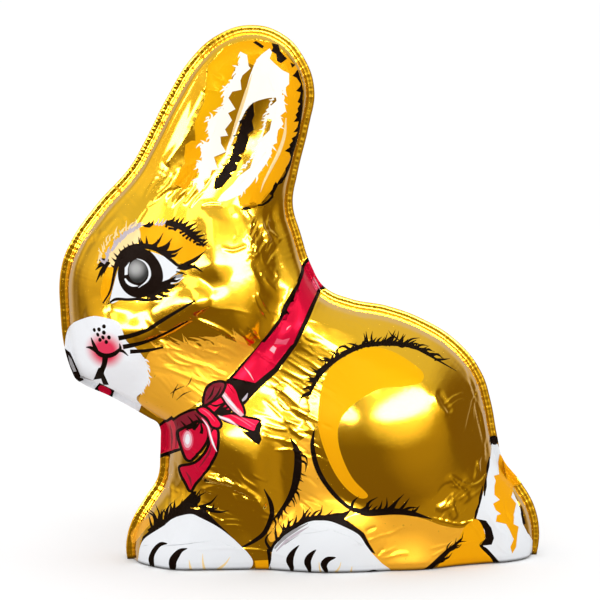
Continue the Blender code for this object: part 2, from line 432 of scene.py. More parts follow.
# %% Lids and lashes
LID_LINES = (
    (stroke, "black", at(103.6,303, 110.4,290, 114.4,272, 117.6,262, 123.5,253.5, 132,248, 142,245.6,
        153,247, 163,252, 171,258.4, 178.4,263.6, 188,260.6, 196,257.4, 204.8,251), (1.6, 2.2, 3, 5.4,
        7.4, 7, 5.6, 5.4, 4.4, 3.4, 3, 4.4, 4.4, 0.6)),
    (stroke, "black", at(176,266, 184,265.8, 194,264.6, 203,270.6), (1.4, 5, 3.6, 0.5)),
    (stroke, "black", at(175,269.6, 181,271, 186.6,273.2), (1.6, 1.8, 0.5)),
    (stroke, "black", at(108,304.4, 115.2,299.4, 127.2,300, 136,300, 145,300.8, 156,300.4, 163.6,298),
        (0.8, 3, 2.6, 3, 3.6, 2.6, 0.5)),
    (stroke, "black", at(146,297.6, 153,293, 160,286.6, 167,281, 174.6,275), (4, 8, 9, 5.6, 0.8)),
)
draw(LID_LINES)
LASHES = lines_of(2, 139,247, 138.4,236.6, 142.6,246, 140,237.6, 146,246, 146,235.4, 151,247, 163.4,232.6,
    153,247, 158,238.6, 158,249, 172.4,237.8, 161,250, 170.6,242, 164,251.6, 182.8,245.4, 167,254,
    178,250.6, 134,249, 132,241, 129,250, 127.6,243.6, 125.6,252, 123.4,245.6, 122.6,255, 118.6,248.6,
    119.6,258.6, 113.6,252.6, 118,262, 111.6,257.6, 116,267, 110.6,264.6, 150,297, 162,300.6, 155,294,
    170,297.4, 159,290, 171.6,290.6, 162,288, 175.6,284.6, 166,285, 178.6,283, 169,280, 180.6,277)
for root, tip in LASHES:
    stroke("black", bowed(root, tip, (1, 1.6)), (4.2, 2.8, 0.4))
print("lashes:", len(artwork), "shapes so far")

# %% Brows
BROW = (
    (lay, "black", at(164,224, 167.2,220, 170.4,221.6, 175.2,215.7, 173.9,221.6, 179.7,217.6, 178,223.2,
        184.5,217, 181.6,224, 190.4,220.4, 185.6,226.4, 196.8,223, 189.6,229.6, 198.4,227.4, 192.5,232,
        202.6,231.5, 196,235.5, 206.9,235.5, 198.9,238.4, 205.6,240, 200.8,241.8, 210,247.4, 201.6,244,
        194.4,240.2, 188,235.8, 184,231.8, 178,228.8, 172,227, 167.2,225.6)),
    (hairs, "black", at(166,226, 176,229.6, 186,236.4, 196,242.4, 205,246.4), 3.4, 12, 52, 2.6, 0.2),
    (lay, "black", at(142,225.6, 147.2,223.7, 149.6,221, 150.4,223.4, 154,219.4, 153.6,224.8, 149.6,227.7,
        144.8,227.2)),
)
draw(BROW)
BROW_ROOT = (108.6, 261.6)
BROW_TIPS = at(96,282.4, 95.2,270.4, 100.8,277.6, 96.8,260.3, 104,274, 97.4,265.6)
for tip in BROW_TIPS:
    stroke("black", bowed(BROW_ROOT, tip, (-0.6, -1)), (4.6, 3.6, 0.4))
BROW_FUR = (
    (hairs, "violet", at(105,262, 110,251.6, 118,242, 127.2,233.6, 141.6,225.6), 2.2, 9, 24, 3, 0.2),
    (hairs, "cream", at(98,262, 106,246, 117,235, 137,224), 3, 8, 36, 1.8),
)
draw(BROW_FUR)
BROW_TICKS = lines_of(2, 155,225, 159,218.6, 158,225.4, 163.6,218.4, 161,225, 166.4,219.6)
for root, tip in BROW_TICKS:
    stroke("violet", bowed(root, tip, (0.6, 0.8)), (2.2, 1.8, 0.4))
print("brows:", len(artwork), "shapes so far")

# %% [markdown]
# ## The ears' print
#
# The two ears are pressed as one. Orange fur covers the upper half, and the inner ear is a black
# feather between two white tufts, with a ragged black line down the back edge. A pale field with a
# cream fringe in the inner ear, and a cream streak further back, are painted highlights. Ragged
# edges are given point by point, because every tuft has its own size.

# %% Ears
EAR_FUR = at(225,47, 240,42, 256,40, 272,43, 286,55, 297,68, 303,84, 302,112, 295,140, 288,165, 276,186,
    262,204, 240,206, 236,190, 250,172, 268,150, 274,124, 277,100, 274,84, 264,72, 255,66, 246,62, 236,64,
    224,104, 210,142, 200,170, 186,190, 174,184, 180.2,169.2, 185.3,163, 184.3,157, 185.3,144.7,
    191.4,140.6, 195.5,140.6, 194.5,123, 200.6,109, 204.7,100.8, 206.7,85.5, 208,66)
lay("orange", EAR_FUR)
WHITE_TUFT_LEFT = at(241,52, 239.4,66, 236.3,68, 235.3,78.4, 232.2,80.4, 228.2,84.5, 227,87.6, 224,90.6,
    223.6,104.9, 220,109, 221,111, 216.9,113, 212.3,118, 208.3,119.2, 209.8,140.6, 205.7,143.7, 201,144.2,
    202.7,158, 201.6,161, 197.6,163, 198.6,170, 200.6,175.3, 196,181.4, 200.6,191.6, 204.6,185.6,
    203.6,179.4, 209.8,177.4, 211.8,170.2, 218,169.2, 213.8,157, 226,151.8, 221,143.6, 220.4,136.6,
    228,135.6, 225,129.4, 232,120.4, 228,113, 235.3,109, 228.2,97.8, 232.2,91.6, 241.4,89.6, 240.4,80.4,
    242.4,75.4, 248.6,70, 250.6,68.2, 248.6,66, 247,55)
WHITE_TUFT_RIGHT = at(269.7,48.3, 262,54, 256,60, 259,68, 268,76, 275.5,93, 276.6,101, 266,110, 269.7,114,
    262,118, 272,119.5, 269.7,130, 259,141, 255,153, 250,168, 239,176, 233,184, 222,194, 217,201, 226,201,
    240,195, 251,184, 257,176, 266,164, 272,153, 270,146, 277,143, 276.6,132, 283.5,124, 280,116, 286,111,
    284.6,104.5, 282,98, 282,91, 289,84, 289,73.5, 282,70, 275.5,64.4, 269.7,58.6, 272,52)
BLACK_FEATHER = at(253.2,101.8, 247.6,109, 245,118, 240.4,121.2, 241.4,124.3, 238.9,133.5, 236.8,136.5,
    237.3,141.6, 233.8,146.7, 232.8,154.9, 229.7,158, 228.7,165, 225,164.6, 223,171.2, 221,173.3,
    217,178.4, 215.6,176.3, 213.4,188.6, 216,189.6, 221.6,187.6, 227.6,180.4, 232.2,176.3, 230.2,173.3,
    236.6,170.2, 237.6,166, 235.3,163, 239.6,162, 241.8,158, 239.4,154.9, 244.5,151.8, 247,144.7,
    249,139.6, 247.6,134.5, 254.2,129.4, 252,121.2, 254.4,115)
BLACK_EDGE = at(297.3,69.6, 295,73, 292.3,75.8, 296.6,78, 300.6,84.4, 299.4,87, 296,91, 300.4,92.4,
    299.6,97, 297.4,102, 300,103.6, 297.4,108.6, 298,111.6, 295.4,114.6, 296.6,117.4, 293.6,122,
    298.4,121.4, 297,127, 293.2,132.4, 297.4,131.6, 295.4,135.6, 291.6,138.4, 292.6,141, 289.4,144.6,
    290,147, 284.8,151, 289.2,152.6, 290.4,156.6, 290,160, 288,164, 285.4,168.6, 285.8,172, 283.4,176.6,
    279.4,180, 277.6,183.6, 276,181.6, 274,185.6, 273.4,190, 271.6,194, 274.4,195.6, 271.4,200, 264,203,
    259,203.6, 259.4,205.2, 266,204.8, 273,202.2, 277,197.6, 276,193.6, 277.6,188, 279,184.6, 282.4,183,
    286.2,176.6, 290.6,166, 293.8,152, 297.4,140, 299.8,130, 301.8,115, 302.6,102, 303,91, 302,84,
    299.4,76)
# Painted highlight: the pale field, its cream fringe and the cream streak stand for light mirrored in the
# foil of the inner ear.
INNER_EAR_HIGHLIGHT = (
    (blob, "pale", at(258,60, 268,72, 278,90, 277,97, 268,98, 257,101, 250,105, 244.8,112, 239,124,
        234,138, 229,150, 226,160, 226.4,150, 233.4,130, 239,112, 243.6,97, 247.6,84, 251,73)),
    (stroke, "cream", at(252,74, 246.2,92, 238.4,116, 229.8,142), (0.4, 3, 3.2, 0.8)),
    (stroke, "cream", at(286,118, 284.6,135, 279,152, 271,168, 264,182, 261,192), (1, 3, 3.6, 3, 2, 0.4)),
)
draw(INNER_EAR_HIGHLIGHT)
lay("pale", WHITE_TUFT_LEFT)
lay("pale", WHITE_TUFT_RIGHT)
hairs("pale", WHITE_TUFT_LEFT[12:24], 3, 6, -32, 2.4)
hairs("pale", WHITE_TUFT_LEFT[:12], 3, 6, -32, 2.4)
EAR_FRINGES = (
    (hairs, "pale", at(284,84, 280,112, 270,146, 256,173, 240,190), 3, 8, 32, 2.8),
    (hairs, "pale", at(275,94, 268,112, 262,134, 252,158, 236,178), 3.6, 6, -30, 2.2),
)
draw(EAR_FRINGES)
lay("black", BLACK_FEATHER)
hairs("black", BLACK_FEATHER[1:16], 3.4, 5, -30, 2)
lay("black", BLACK_EDGE)
EAR_PATCHES = (
    (lay, "black", at(240,209.6, 245,206.4, 251,205.6, 250.4,208.4, 244,209.6)),
    (lay, "black", at(253,42.6, 256,41, 264,46, 262.4,48.6)),
    (lay, "black", at(271.5,43.2, 278.4,44.6, 280,51, 287,58.8, 281,63.2, 277,61, 276.2,54, 271.4,51,
        273,47.6)),
    (lay, "black", at(290,62.6, 295,65, 292,67.8)),
)
draw(EAR_PATCHES)
print("ears:", len(artwork), "shapes so far")

# %% [markdown]
# ## Ribbon and bow
#
# A red ribbon runs round the neck to a bow under the chin. Round the neck it is a black shape with a
# red one inside it. Each loop and tail of the bow is a red shape, and a black line is drawn along its
# edge. The light streaks on it are printed too, except a rose and blush patch on the neck band, which
# is a painted reflection.

# %% Ribbon and bow


def outlined(ink, points, edge, shape=blob):
    """A shape with a black outline, half of it outside the points."""
    shape(ink, points)
    line = smooth_line(points, 2.0, closed=True)
    stroke("black", np.vstack([line, line[:2]]), [edge] * (len(line) + 2))


NECK_RIBBON = (
    (lay, "black", at(303,248, 309,256, 302,265, 297.9,282.7, 289,305, 280,320, 256,348, 226,380, 236,396,
        244,404, 259,388, 278,371, 296.5,345.5, 308.5,321, 314.5,306, 321,291, 326,288, 320,270)),
    (lay, "red", at(309.6,260, 304.6,267, 300.6,283.4, 291.6,306.4, 282.4,321.8, 264.6,342.4, 262,342,
        252.6,354, 232.6,377, 255,382.6, 273.6,368, 290.4,346, 293,344, 303.6,321, 310.6,305, 317,289.8,
        322.6,286.4, 316,270)),
    (lay, "rose", at(313,277, 319.6,288, 316,291.6, 311.6,283)),
    (lay, "black", at(230,378, 240,379, 254,386.6, 256,391, 246,401, 241,400, 237,392, 231.4,384)),
    (stroke, "violet", at(240.6,400.6, 245,397, 247.4,392.4), (1.6, 3.2, 0.6)),
    # Painted reflection: this rose and blush patch stands for light mirrored on the neck band.
    (lay, "rose", at(274,344, 277,338.4, 283,340, 290,338, 286,344.6)),
    (lay, "blush", at(269.4,350, 273,345.6, 276.4,348, 274,353.6)),
)
draw(NECK_RIBBON)
NECK_STREAKS = lines_of(3, 286.4,330, 288,327.4, 290.8,325.6, 244.3,367, 249,372.6, 253.5,380, 313.6,277,
    317,283.4, 320.4,290)
for streak in NECK_STREAKS:
    stroke("blush", streak, (0.4, 1.6, 0.4))
CHIN_RIBBON = (
    (lay, "red", at(160,424.6, 172,416.6, 177.6,420, 178.6,447, 160,454)),
    (stroke, "black", at(157,426.6, 166,421, 172.6,415.6), (2.6, 2.8, 3.4)),
    (stroke, "black", at(157,457, 168,453.4, 181,447.4), (3.4, 3.6, 2.6)),
)
draw(CHIN_RIBBON)
CHIN_STREAKS = lines_of(3, 170,424, 172,436, 171.6,449, 175.6,421, 176.6,434, 176,447)
for streak in CHIN_STREAKS:
    stroke("dark_red", streak, (0.6, 2.2, 0.6))
HANGING_END = (
    (outlined, "red", at(213.6,425, 217.2,428, 217.9,437, 216.5,449.8, 211.6,461, 203.9,473.6, 196.2,483,
        190.6,491.4, 185,482, 178.7,466.8, 190.6,462.6, 196.2,459.8, 203.9,451.4, 208.8,440, 209.5,430.6),
        3, lay),
    (stroke, "dark_red", at(186,471, 190,478, 191.6,486), (0.6, 2.4, 0.6)),
    (stroke, "dark_red", at(212,438, 208,452, 199,466), (0.6, 2.2, 0.6)),
)
draw(HANGING_END)
LOWER_LOOP = (
    (lay, "dark_red", at(172.4,417.6, 180,413, 192,408.4, 200,410.6, 208.6,417, 212,426, 208.6,432,
        196,426, 184,428.6, 177,430)),
    (stroke, "black", at(172,419, 180,413, 192,408, 198,408.6), (2.4, 2.4, 2.6, 1.4)),
    (outlined, "red", at(177.6,430, 182,426.6, 189,423.4, 196.2,419.4, 204,420.8, 208,430, 206.7,438.6,
        201.8,447, 194.8,455.4, 190.6,459.4, 185.7,457.8, 181.5,448.4, 178.2,436.8), 3),
    (disc, "rose", (187.2, 438), (5.8, 10.6), 24),
    (disc, "blush", (187.2, 437.6), (4.2, 8.6), 20),
    (disc, "white", (187.2, 437.2), (2.2, 5.4), 16),
    (lay, "black", at(184,428.6, 190,423, 196,417.6, 198,419.4, 193,426, 187,427.8)),
    (stroke, "black", at(192.6,427.6, 196,424, 200.4,419), (2.6, 3, 0.6)),
    (stroke, "black", at(200.6,431.4, 201.4,426.4, 199.6,422), (3.4, 2.8, 0.6)),
    (stroke, "rose", at(201,415.6, 206.6,422.6, 209.4,432, 212,441, 216.2,450), (1.2, 3.2, 3.2, 3.4,
        0.8)),
    (stroke, "white", at(202,417, 207.4,424.6, 209.8,433, 212.6,441.6, 216.2,449.4), (0.4, 1.4, 1.6, 1.8,
        0.4)),
)
draw(LOWER_LOOP)
RIGHT_END = (
    (outlined, "red", at(220,413.8, 228.4,411.6, 236.8,412.6, 245.2,415.6, 259.6,419.2, 257.4,424,
        254.3,430.4, 248,429, 239.6,425, 232.6,421.8, 224.2,419), 2.6, lay),
    (lay, "black", at(241,428.6, 248,430.4, 254.6,430.6, 257.4,424.4, 259.8,418.6, 261.6,424, 259.8,431.6,
        261.4,438.6, 259,444, 253.6,441, 246.6,435)),
    (stroke, "blush", at(217.6,414.4, 228.4,418.6, 237.6,424.6), (2.4, 3.6, 0.8)),
    (stroke, "white", at(218.6,414.6, 227.4,418, 234.6,422), (1, 1.8, 0.4)),
    (stroke, "rose", at(230,412.8, 241,418.6, 251,425.6), (0.4, 1.5, 0.4)),
    (stroke, "rose", at(238,414, 246,418.8, 254.6,424), (0.4, 1.2, 0.4)),
)
draw(RIGHT_END)
KNOT_BACK = (
    (outlined, "red", at(204,404.6, 211.6,399, 220,395, 224.6,399, 230,405, 228,411.6, 217,412,
        209,408.6), 2.4),
    (lay, "black", at(212.4,410.6, 219,404.4, 224.6,398.6, 226.4,401.6, 222.6,405.6, 231,403.6, 226,407.8,
        234.6,408, 226.6,411.8, 216,412.6)),
)
draw(KNOT_BACK)
UPPER_LOOP = (
    (outlined, "red", at(224,381.8, 231.2,382.4, 236.8,389.6, 239.6,398, 243.4,406.4, 244.4,413,
        240.4,414.6, 234,410.6, 227.4,404, 221,394.4, 221.6,388), 2.6),
    (lay, "blush", at(220.4,392.6, 223.6,389.8, 229.6,396.4, 235.6,404, 243.6,413.6, 240.6,415.4,
        233,409.6, 226.6,402)),
    (stroke, "white", at(223,393, 229.6,400.6, 238.6,411), (1, 2.6, 0.6)),
    (stroke, "red", at(226.4,393.4, 233,401, 239.6,409.8), (0.3, 0.9, 0.3)),
)
draw(UPPER_LOOP)
KNOT = (
    (outlined, "dark_red", at(202.6,402.6, 203.6,393, 206.6,386, 212.8,381.4, 220.6,380.2, 225.4,382.4,
        223.6,389, 218.6,395.6, 211.6,399.8, 205.6,403.4), 2.8),
    (outlined, "red", at(196.2,407.4, 201.8,404.3, 207.4,406.2, 211.8,409.9, 217.2,415.6, 221,421.6,
        219.4,425.6, 215.1,426.4, 210.4,423.9, 206,416.6, 199.4,411.6), 2.8),
    (stroke, "rose", at(201,406.8, 208,411.6, 214.4,419.4), (0.4, 1.8, 0.4)),
)
draw(KNOT)
BOW_CREASES = lines_of(3, 180,419, 185,424, 188,429, 187,414, 192,420, 195,428, 194,412, 199,418, 202,426,
    206,399, 211,393, 214,385, 211,399, 217,393, 221,385, 208,402, 216,404, 223,401)
for line in BOW_CREASES:
    stroke("black", line, (0.5, 2.4, 0.6))
print("ribbon:", len(artwork), "shapes so far")

# %% [markdown]
# ## Haunch, paws and tail
#
# The haunch is a curved fur line with an orange crescent inside it. The paws are white with black toe
# lines and a dark furry band above, and the tail is a white tuft with an orange patch.

# %% Haunch and belly lines
CRESCENT = at(319,404, 323,383, 332,366, 350,352, 373,347, 392,351, 408,360, 423,373, 420,383, 402,386.6,
    380,389, 358,401, 343,416, 338,430, 339,446, 345,464, 354,480, 368,495, 360,498, 346,488, 333,470,
    323,446, 318,424)
blob("orange", CRESCENT)
UPPER_HAUNCH = at(309,395, 315,382, 324,369, 340,356.5, 361,346.5, 380,343.6, 398,343.6, 413.9,347,
    424.6,352.5, 438,360.5, 456.8,371.3)
stroke("black", UPPER_HAUNCH, (1.2, 4.4, 6, 4.6, 4.4, 5, 5, 3.8, 3, 2, 0.4))
hairs("black", UPPER_HAUNCH[1:7], 5.4, 13, 30, 3)
hairs("black", UPPER_HAUNCH[4:8], 3.6, 13, 50, 3.2)
hairs("black", UPPER_HAUNCH[5:10], 4.6, 14, 20, 3)
hairs("black", UPPER_HAUNCH[:5], 3.6, 14, 150, 3.2)
hairs("black", UPPER_HAUNCH[:3], 3.6, 12, 120, 2.8)
FRONT_OF_HAUNCH = at(314.6,428, 312.4,444, 315,461, 321,476, 331.4,491, 343,503, 355,511)
stroke("black", FRONT_OF_HAUNCH, (0.6, 4.4, 5, 4.8, 4.6, 4, 4.4))
LOWER_HAUNCH = at(352,509, 366,513, 382,512, 398,511.6, 414,514, 432,519)
stroke("black", LOWER_HAUNCH, (4, 6.4, 6.8, 6.4, 5, 0.8))
hairs("black", LOWER_HAUNCH[:3], 5, 17, 62, 3.8, 0.16)
hairs("black", LOWER_HAUNCH[2:5], 5, 18, 42, 3.8, 0.16)
BELLY_LINES = (
    (stroke, "black", at(290,438, 295.6,447, 298,459, 297,475, 293.6,489, 286,504, 272,521), (0.8, 5, 7.6,
        8.2, 6.6, 4.8, 1.2)),
    (hairs, "black", at(294,448, 298,460, 297.5,476, 293,492), 4.4, 12, 34, 3.2, 0.12),
    (hairs, "black", at(297,484, 286,506, 273,520), 5, 10, 40, 2.4),
    (stroke, "black", at(264,489, 270.6,503, 271.4,516, 265,532, 254,541, 240,548.4), (0.8, 4.4, 5.2, 4.8,
        3.8, 1.6)),
)
draw(BELLY_LINES)
print("haunch:", len(artwork), "shapes so far")

# %% Front paw and hind paw
FRONT_PAW = at(138,574, 139,556, 141,545.4, 146.4,537, 163.3,526, 173,518.5, 190,514, 201,518, 218,527,
    232,537.6, 241,546, 248,553, 253,562, 247,569.4, 214,574, 176,577)
FRONT_PAW_BAND = (
    (lay, "black", at(141,546, 143,537, 153,527, 161,521, 168,515, 179,505, 185,499, 193,491, 196.6,491,
        195,501, 190.4,508, 199,509.6, 207,503, 206,511.4, 216,521.4, 226,531, 236,541.4, 243,549.6,
        214,540, 150,545)),
    (hairs, "black", at(150,529, 163,519, 178,507), 3.4, 15, 35, 3.4),
    (hairs, "black", at(192,505, 203,506, 212,511), 4, 17, 52, 3.4),
    (hairs, "black", at(150,527, 163,518), 5, 15, 60, 2.6),
)
draw(FRONT_PAW_BAND)
blob("white", FRONT_PAW)
FRONT_PAW_SHADES = lines_of(3, 189,560, 190,566, 191.4,572, 202.6,554, 203,563, 205,572, 230,557, 225,564,
    216,571)
for streak in FRONT_PAW_SHADES:
    stroke("cream", streak, (0.4, 2, 3.2))
BETWEEN_PAWS = at(254.6,560.6, 269.4,560, 269.4,573, 253,573)
lay("orange", BETWEEN_PAWS)
HIND_PAW = at(270.6,579, 271.2,560, 273,549, 280,540, 293.7,529.6, 309,521.8, 320,520.6, 331.4,521.8,
    346.7,528, 359,535, 366,545, 373,554, 381,562, 390,571, 360,579, 312,580)
HIND_PAW_BAND = (
    (lay, "black", at(268.4,551, 274,541.4, 283,531.8, 295,523.2, 308,516.6, 320,515, 332,516, 341,513.6,
        352,509, 347,516, 344.6,519, 354,525.6, 364,533, 369,543, 375.4,553.6, 366,550, 352,538, 330,530,
        300,534, 284,545, 274,553)),
    (hairs, "black", at(270.6,549, 283,533, 306,518.6, 332,517.6), 4.6, 16, 42, 3.2, 0.2),
    (stroke, "black", at(268.6,549, 269.6,560, 270.4,571), (4, 3.2, 3)),
)
draw(HIND_PAW_BAND)
blob("white", HIND_PAW)
# Painted shade: grey and violet along the top of the hind paw, under the dark fur band.
HIND_PAW_TOP_SHADE = (
    (stroke, "grey", at(274.4,548.6, 283.6,538.6, 295,530.4, 308,523.4), (1.6, 3.6, 3.2, 0.6)),
    (stroke, "violet", at(276,551.4, 286,541.2, 297.6,533, 309,526.6), (0.8, 2.8, 2.6, 0.4)),
)
draw(HIND_PAW_TOP_SHADE)
TOES = (
    at(167.6,543.7, 161.6,541.9, 156.5,544.5, 151.4,550.8, 148.4,559, 150.6,566.4, 154.6,570.6, 154,562,
        154.4,556, 157.6,550, 161.6,545.9),
    at(187.6,548.4, 180,548.6, 173.9,552.7, 169.3,559, 168.9,566.2, 172,571.7, 175.9,568.2, 176.4,562.6,
        179,557.4, 182.4,551.9),
    at(299.4,545, 291.6,550.2, 287,556.5, 286,561.6, 289,567.8, 292.4,572.8, 293.9,568, 293.2,563.7,
        293.7,557.6, 295.9,551),
    at(316.2,549.5, 309,553.3, 304.9,558.4, 304.2,563.7, 307.4,569.8, 310,572.6, 311.4,568.8, 311,561.6,
        313.2,555.5),
    at(336,557.4, 327.3,556.8, 322.2,560.4, 320.5,564.7, 322.9,569.8, 326.2,572.6, 328.1,570.4, 327,566,
        329.6,561.6),
)
for toe in TOES:
    blob("black", toe, 1.4)
LAST_TOE = at(366,570.6, 374,569.4, 384,572)
stroke("black", LAST_TOE, (0.6, 2, 1.2))
HIND_PAW_SHADES = lines_of(3, 319,562, 319.6,568, 321,573, 341,562, 339,568, 334,573, 352,566, 351,570,
    348,574)
for streak in HIND_PAW_SHADES:
    stroke("cream", streak, (0.4, 1.6, 2.4))
print("paws:", len(artwork), "shapes so far")

# %% Tail and foot
TAIL = (
    (lay, "white", at(491.8,444.6, 497.6,444, 502,454, 507,480, 514.8,497.3, 519.9,508.8, 522.4,523,
        527.5,533, 532.7,540.7, 531.6,556, 532,572, 500,568, 494,560, 482,550, 486,536, 478,521,
        476.4,518, 481,500, 486.4,481, 489.5,460.4)),
    (lay, "orange", at(499.5,453.5, 507,462.7, 515.2,474.2, 520.3,484.1, 513.2,486.4, 511,497.3,
        516,503.7, 513.5,515.2, 513.5,524.1, 518.6,526.7, 517.3,534.3, 516,547, 512.2,553.5, 510.3,547,
        513.5,539.4, 509.7,530.5, 505.9,524.1, 495.7,521.6, 497,515.2, 500.8,514, 495.7,510.1, 493,503.7,
        499.5,499.9, 494.4,494.8, 494.4,485.9, 495.7,480.8, 493.8,475.7, 498.9,474.4, 498.2,462.9)),
    (lay, "black", at(520.4,505, 523,514, 525.4,524, 523,524.6, 520.6,514)),
    (blob, "black", at(490,437.6, 496,435.6, 498.4,441.6, 493.6,445)),
    (lay, "black", at(475.4,518.6, 486,520.6, 491.4,528, 494,538, 491.6,544.6, 480,546, 485.6,538,
        484.6,530)),
    (stroke, "black", at(477.6,545.4, 485,550, 492,557.6, 500,566), (3.4, 5, 5.4, 4.6)),
)
draw(TAIL)
TAIL_LINES = lines_of(2, 489.4,457, 486.6,475, 486.4,476, 484.4,496, 482.6,486, 478.6,508, 478.6,504,
    474.6,520)
for root, tip in TAIL_LINES:
    stroke("black", bowed(root, tip), (0.6, 3, 1.2))
FOOT_FUR = at(438,572, 444,558, 457,542, 465,526.7, 476.5,519, 484.2,530.5, 484,539, 479.4,545.8, 492,560,
    494,575)
blob("orange", FOOT_FUR)
FOOT_EDGE = at(416,571, 428,567, 440,558, 449,550, 458.6,542)
stroke("black", FOOT_EDGE, (2.4, 4.4, 5.2, 4.4, 0.8))
FOOT_HAIRS = (
    (hairs, "black", at(428,568, 442,558, 454,546), 3.2, 12, -18, 2.8),
    (hairs, "black", at(447,552, 458,542), 3, 11, 12, 2),
)
draw(FOOT_HAIRS)
print("artwork", len(artwork), "shapes", round(time.time() - started, 1), "s")

# %% [markdown]
# ## Where the foil folds
#
# Foil can't stretch, so where the figure is round it gathers. Broad domes, swells, hollows and flat
# facets catch the big reflections, long creases run from the places where the foil is pinched, and
# sheaves of small parallel creases lie round the neck. Each is a place or a line in the picture, with
# half widths and a height.

# %% Domes, swells, facets and creases
DOMES = (
    # middle in the picture, half sizes to the left, right, top and bottom in mm, height in mm
    ((205, 432), (24, 26, 29, 20), 4.2),
    ((405, 577), (24, 15, 18, 18), 4),
    ((207, 306), (8, 8, 8, 4), 0.9),
)
SWELLS = (
    # route in the picture, half widths to its left and right in mm, height in mm
    (at(168,284, 196,280, 222,278, 246,275), (17, 19), -2.5),
    (at(284,300, 284,270, 281,240, 277,215), (15, 5), -2.6),
    (at(211,224, 212,242, 215,262), (6, 8), 1.5),
    (at(262,74, 252,98, 244,122, 236,148, 226,168), 2.4, 0.35),
    (at(284,392, 292,400, 300,408), 3.2, 0.5),
    (at(288,420, 296,427, 304,432), 3, 0.4),
    (at(206.5,477, 222,480, 237,485.5, 252,496, 262,505), 1.7, 0.65),
    (at(451,480, 459,488, 465,498), 2.2, 0.4),
    (at(441,508, 449,506, 454,516), 1.8, 0.4),
    (at(434,396, 438,406, 444,413), 1.4, 0.35),
    (at(440,394, 445,402, 450,410), 1.4, -0.35),
    (at(236,213, 244,222, 250,234), 2.4, 0.35),
    (at(266,222, 273,232, 279,244), 2, 0.4),
    (at(262,262, 272,276, 276,292), 3, -0.3),
)
FACETS = (
    # route, half widths, heights at its two ends, end width over start width, roundness of its top
    (at(106,326, 125,330, 148,328, 172,318, 194,304), (8.4, 4), (1.25, 1.6), 1, 0.5),
    (at(146,331, 164,325, 180,315, 196,305), (5.4, 3.6), (0.8, 0.8), 1, 0.5),
    (at(210,90, 199,116, 186,139, 168,161), (5.8, 4), (1.05, 0.32), 0.3, 0.1),
)
CREASES = (
    # route, half width in mm, height in mm
    (at(183,321, 200,322, 219,329, 237,339, 250,346), 1, 0.42),
    (at(188,316, 206,324, 222,331), 0.7, 0.25),
    (at(178,339, 198,348, 215,353, 233,361), 0.9, 0.34),
    (at(202,347, 223,347, 240,356), 1, 0.34),
    (at(170,352, 190,361, 208,366, 228,376), 0.8, 0.24),
    (at(181,372, 196,378, 214,384), 0.7, 0.2),
    (at(160,366, 178,372, 200,382), 0.8, 0.22),
    (at(256,297, 262,312, 270,326), 0.7, 0.3),
    (at(261,294, 268,309, 274,322), 0.7, 0.3),
    (at(238,330, 246,337, 254,343), 0.7, 0.3),
    (at(248,326, 255,334, 261,341), 0.7, 0.3),
    (at(249,216, 252,226, 250,234, 256,240, 263,246), 0.7, 0.42),
    (at(262,216, 258,226, 253,236, 250,247), 0.7, 0.38),
    (at(222,247, 234,248, 248,242), 0.8, 0.34),
    (at(249,249, 257,253, 265,250), 0.9, 0.34),
    (at(264,219, 270,229, 277,238), 0.8, 0.36),
    (at(272,218, 276,227, 282,236), 0.6, 0.3),
    (at(244,208, 250,216, 258,222), 0.7, 0.34),
    (at(275,275, 280,284, 285,292), 0.6, 0.26),
    (at(280,264, 287,271, 284,281), 0.6, 0.24),
    (at(201,207, 212,205, 223,206), 0.8, -0.5),
    (at(205,473.5, 218,475, 228,472), 0.8, 0.34),
    (at(201,489, 213,486, 223,487, 232,494, 239,508), 0.9, 0.36),
    (at(219,521, 230,520, 243,521), 0.7, 0.3),
    (at(222,526, 232,525, 241,526), 0.6, 0.26),
    (at(462,355, 472,385, 479,418, 487,455), 0.8, -0.4),
    (at(467,380, 476,402, 481.6,418.3, 484.2,437.4, 484,462), 0.7, 0.4),
    (at(449.7,474.4, 461,482, 471.4,485.9, 481.6,480.8, 488,470.6), 0.6, 0.4),
    (at(431.9,517.8, 447,521.6, 461,524, 476,519), 0.6, 0.34),
    (at(445,405, 452,398, 463,393), 0.6, 0.26),
    (at(448,409, 456,402, 464,399), 0.6, 0.22),
    (at(449,476, 455,484, 462,490), 0.7, 0.34),
    (at(455,490, 452,500, 455,514), 0.9, 0.34),
    (at(468,520, 476,530, 489,549), 0.6, 0.2),
    (at(366,531, 371,529, 376,527), 0.8, -0.4),
    (at(377,555, 380,552, 384,548), 0.8, -0.4),
    (at(196,549.5, 225,548, 241,549, 258,550, 272,553, 294,558), 0.6, 0.26),
    (at(152,200, 165,190.6, 171,182.4, 180,169), 1, 0.4),
    (at(173,203, 183,190.6, 195.5,172, 200,161), 1, 0.4),
    (at(167,200, 176,190, 188,174), 0.8, -0.35),
    (at(184,204, 191,195, 200,183), 0.8, 0.36),
    (at(190,208, 196,199, 204,190), 0.6, 0.3),
    (at(261,192, 266,177, 273,162, 281,150), 0.9, 0.36),
    (at(206,69, 214,75, 224,82), 1.4, 0.4),
    (at(203,89, 212,90, 222,93), 1, 0.34),
    (at(312,331, 326,340, 343,349), 0.7, 0.09),
    (at(306,338, 322,348, 336,357), 0.7, 0.09),
    (at(300,346, 316,356, 332,368), 0.7, 0.09),
    (at(294,353, 312,363, 326,375), 0.7, 0.09),
    (at(288,360, 304,370, 322,383), 0.7, 0.09),
    (at(281,367, 298,378, 318,392), 0.7, 0.09),
    (at(274,374, 290,384, 312,401), 0.7, 0.09),
    (at(266,381, 282,391, 302,408), 0.7, 0.09),
    (at(290,407, 304,414, 320,422), 0.6, 0.26),
    (at(262,398, 272,407, 282,417), 0.8, 0.3),
    (at(264,424, 276,428, 288,430), 0.9, 0.28),
    (at(262,434, 274,438, 286,440), 0.8, 0.26),
    (at(274,450, 292,450, 310,458), 0.7, 0.34),
)
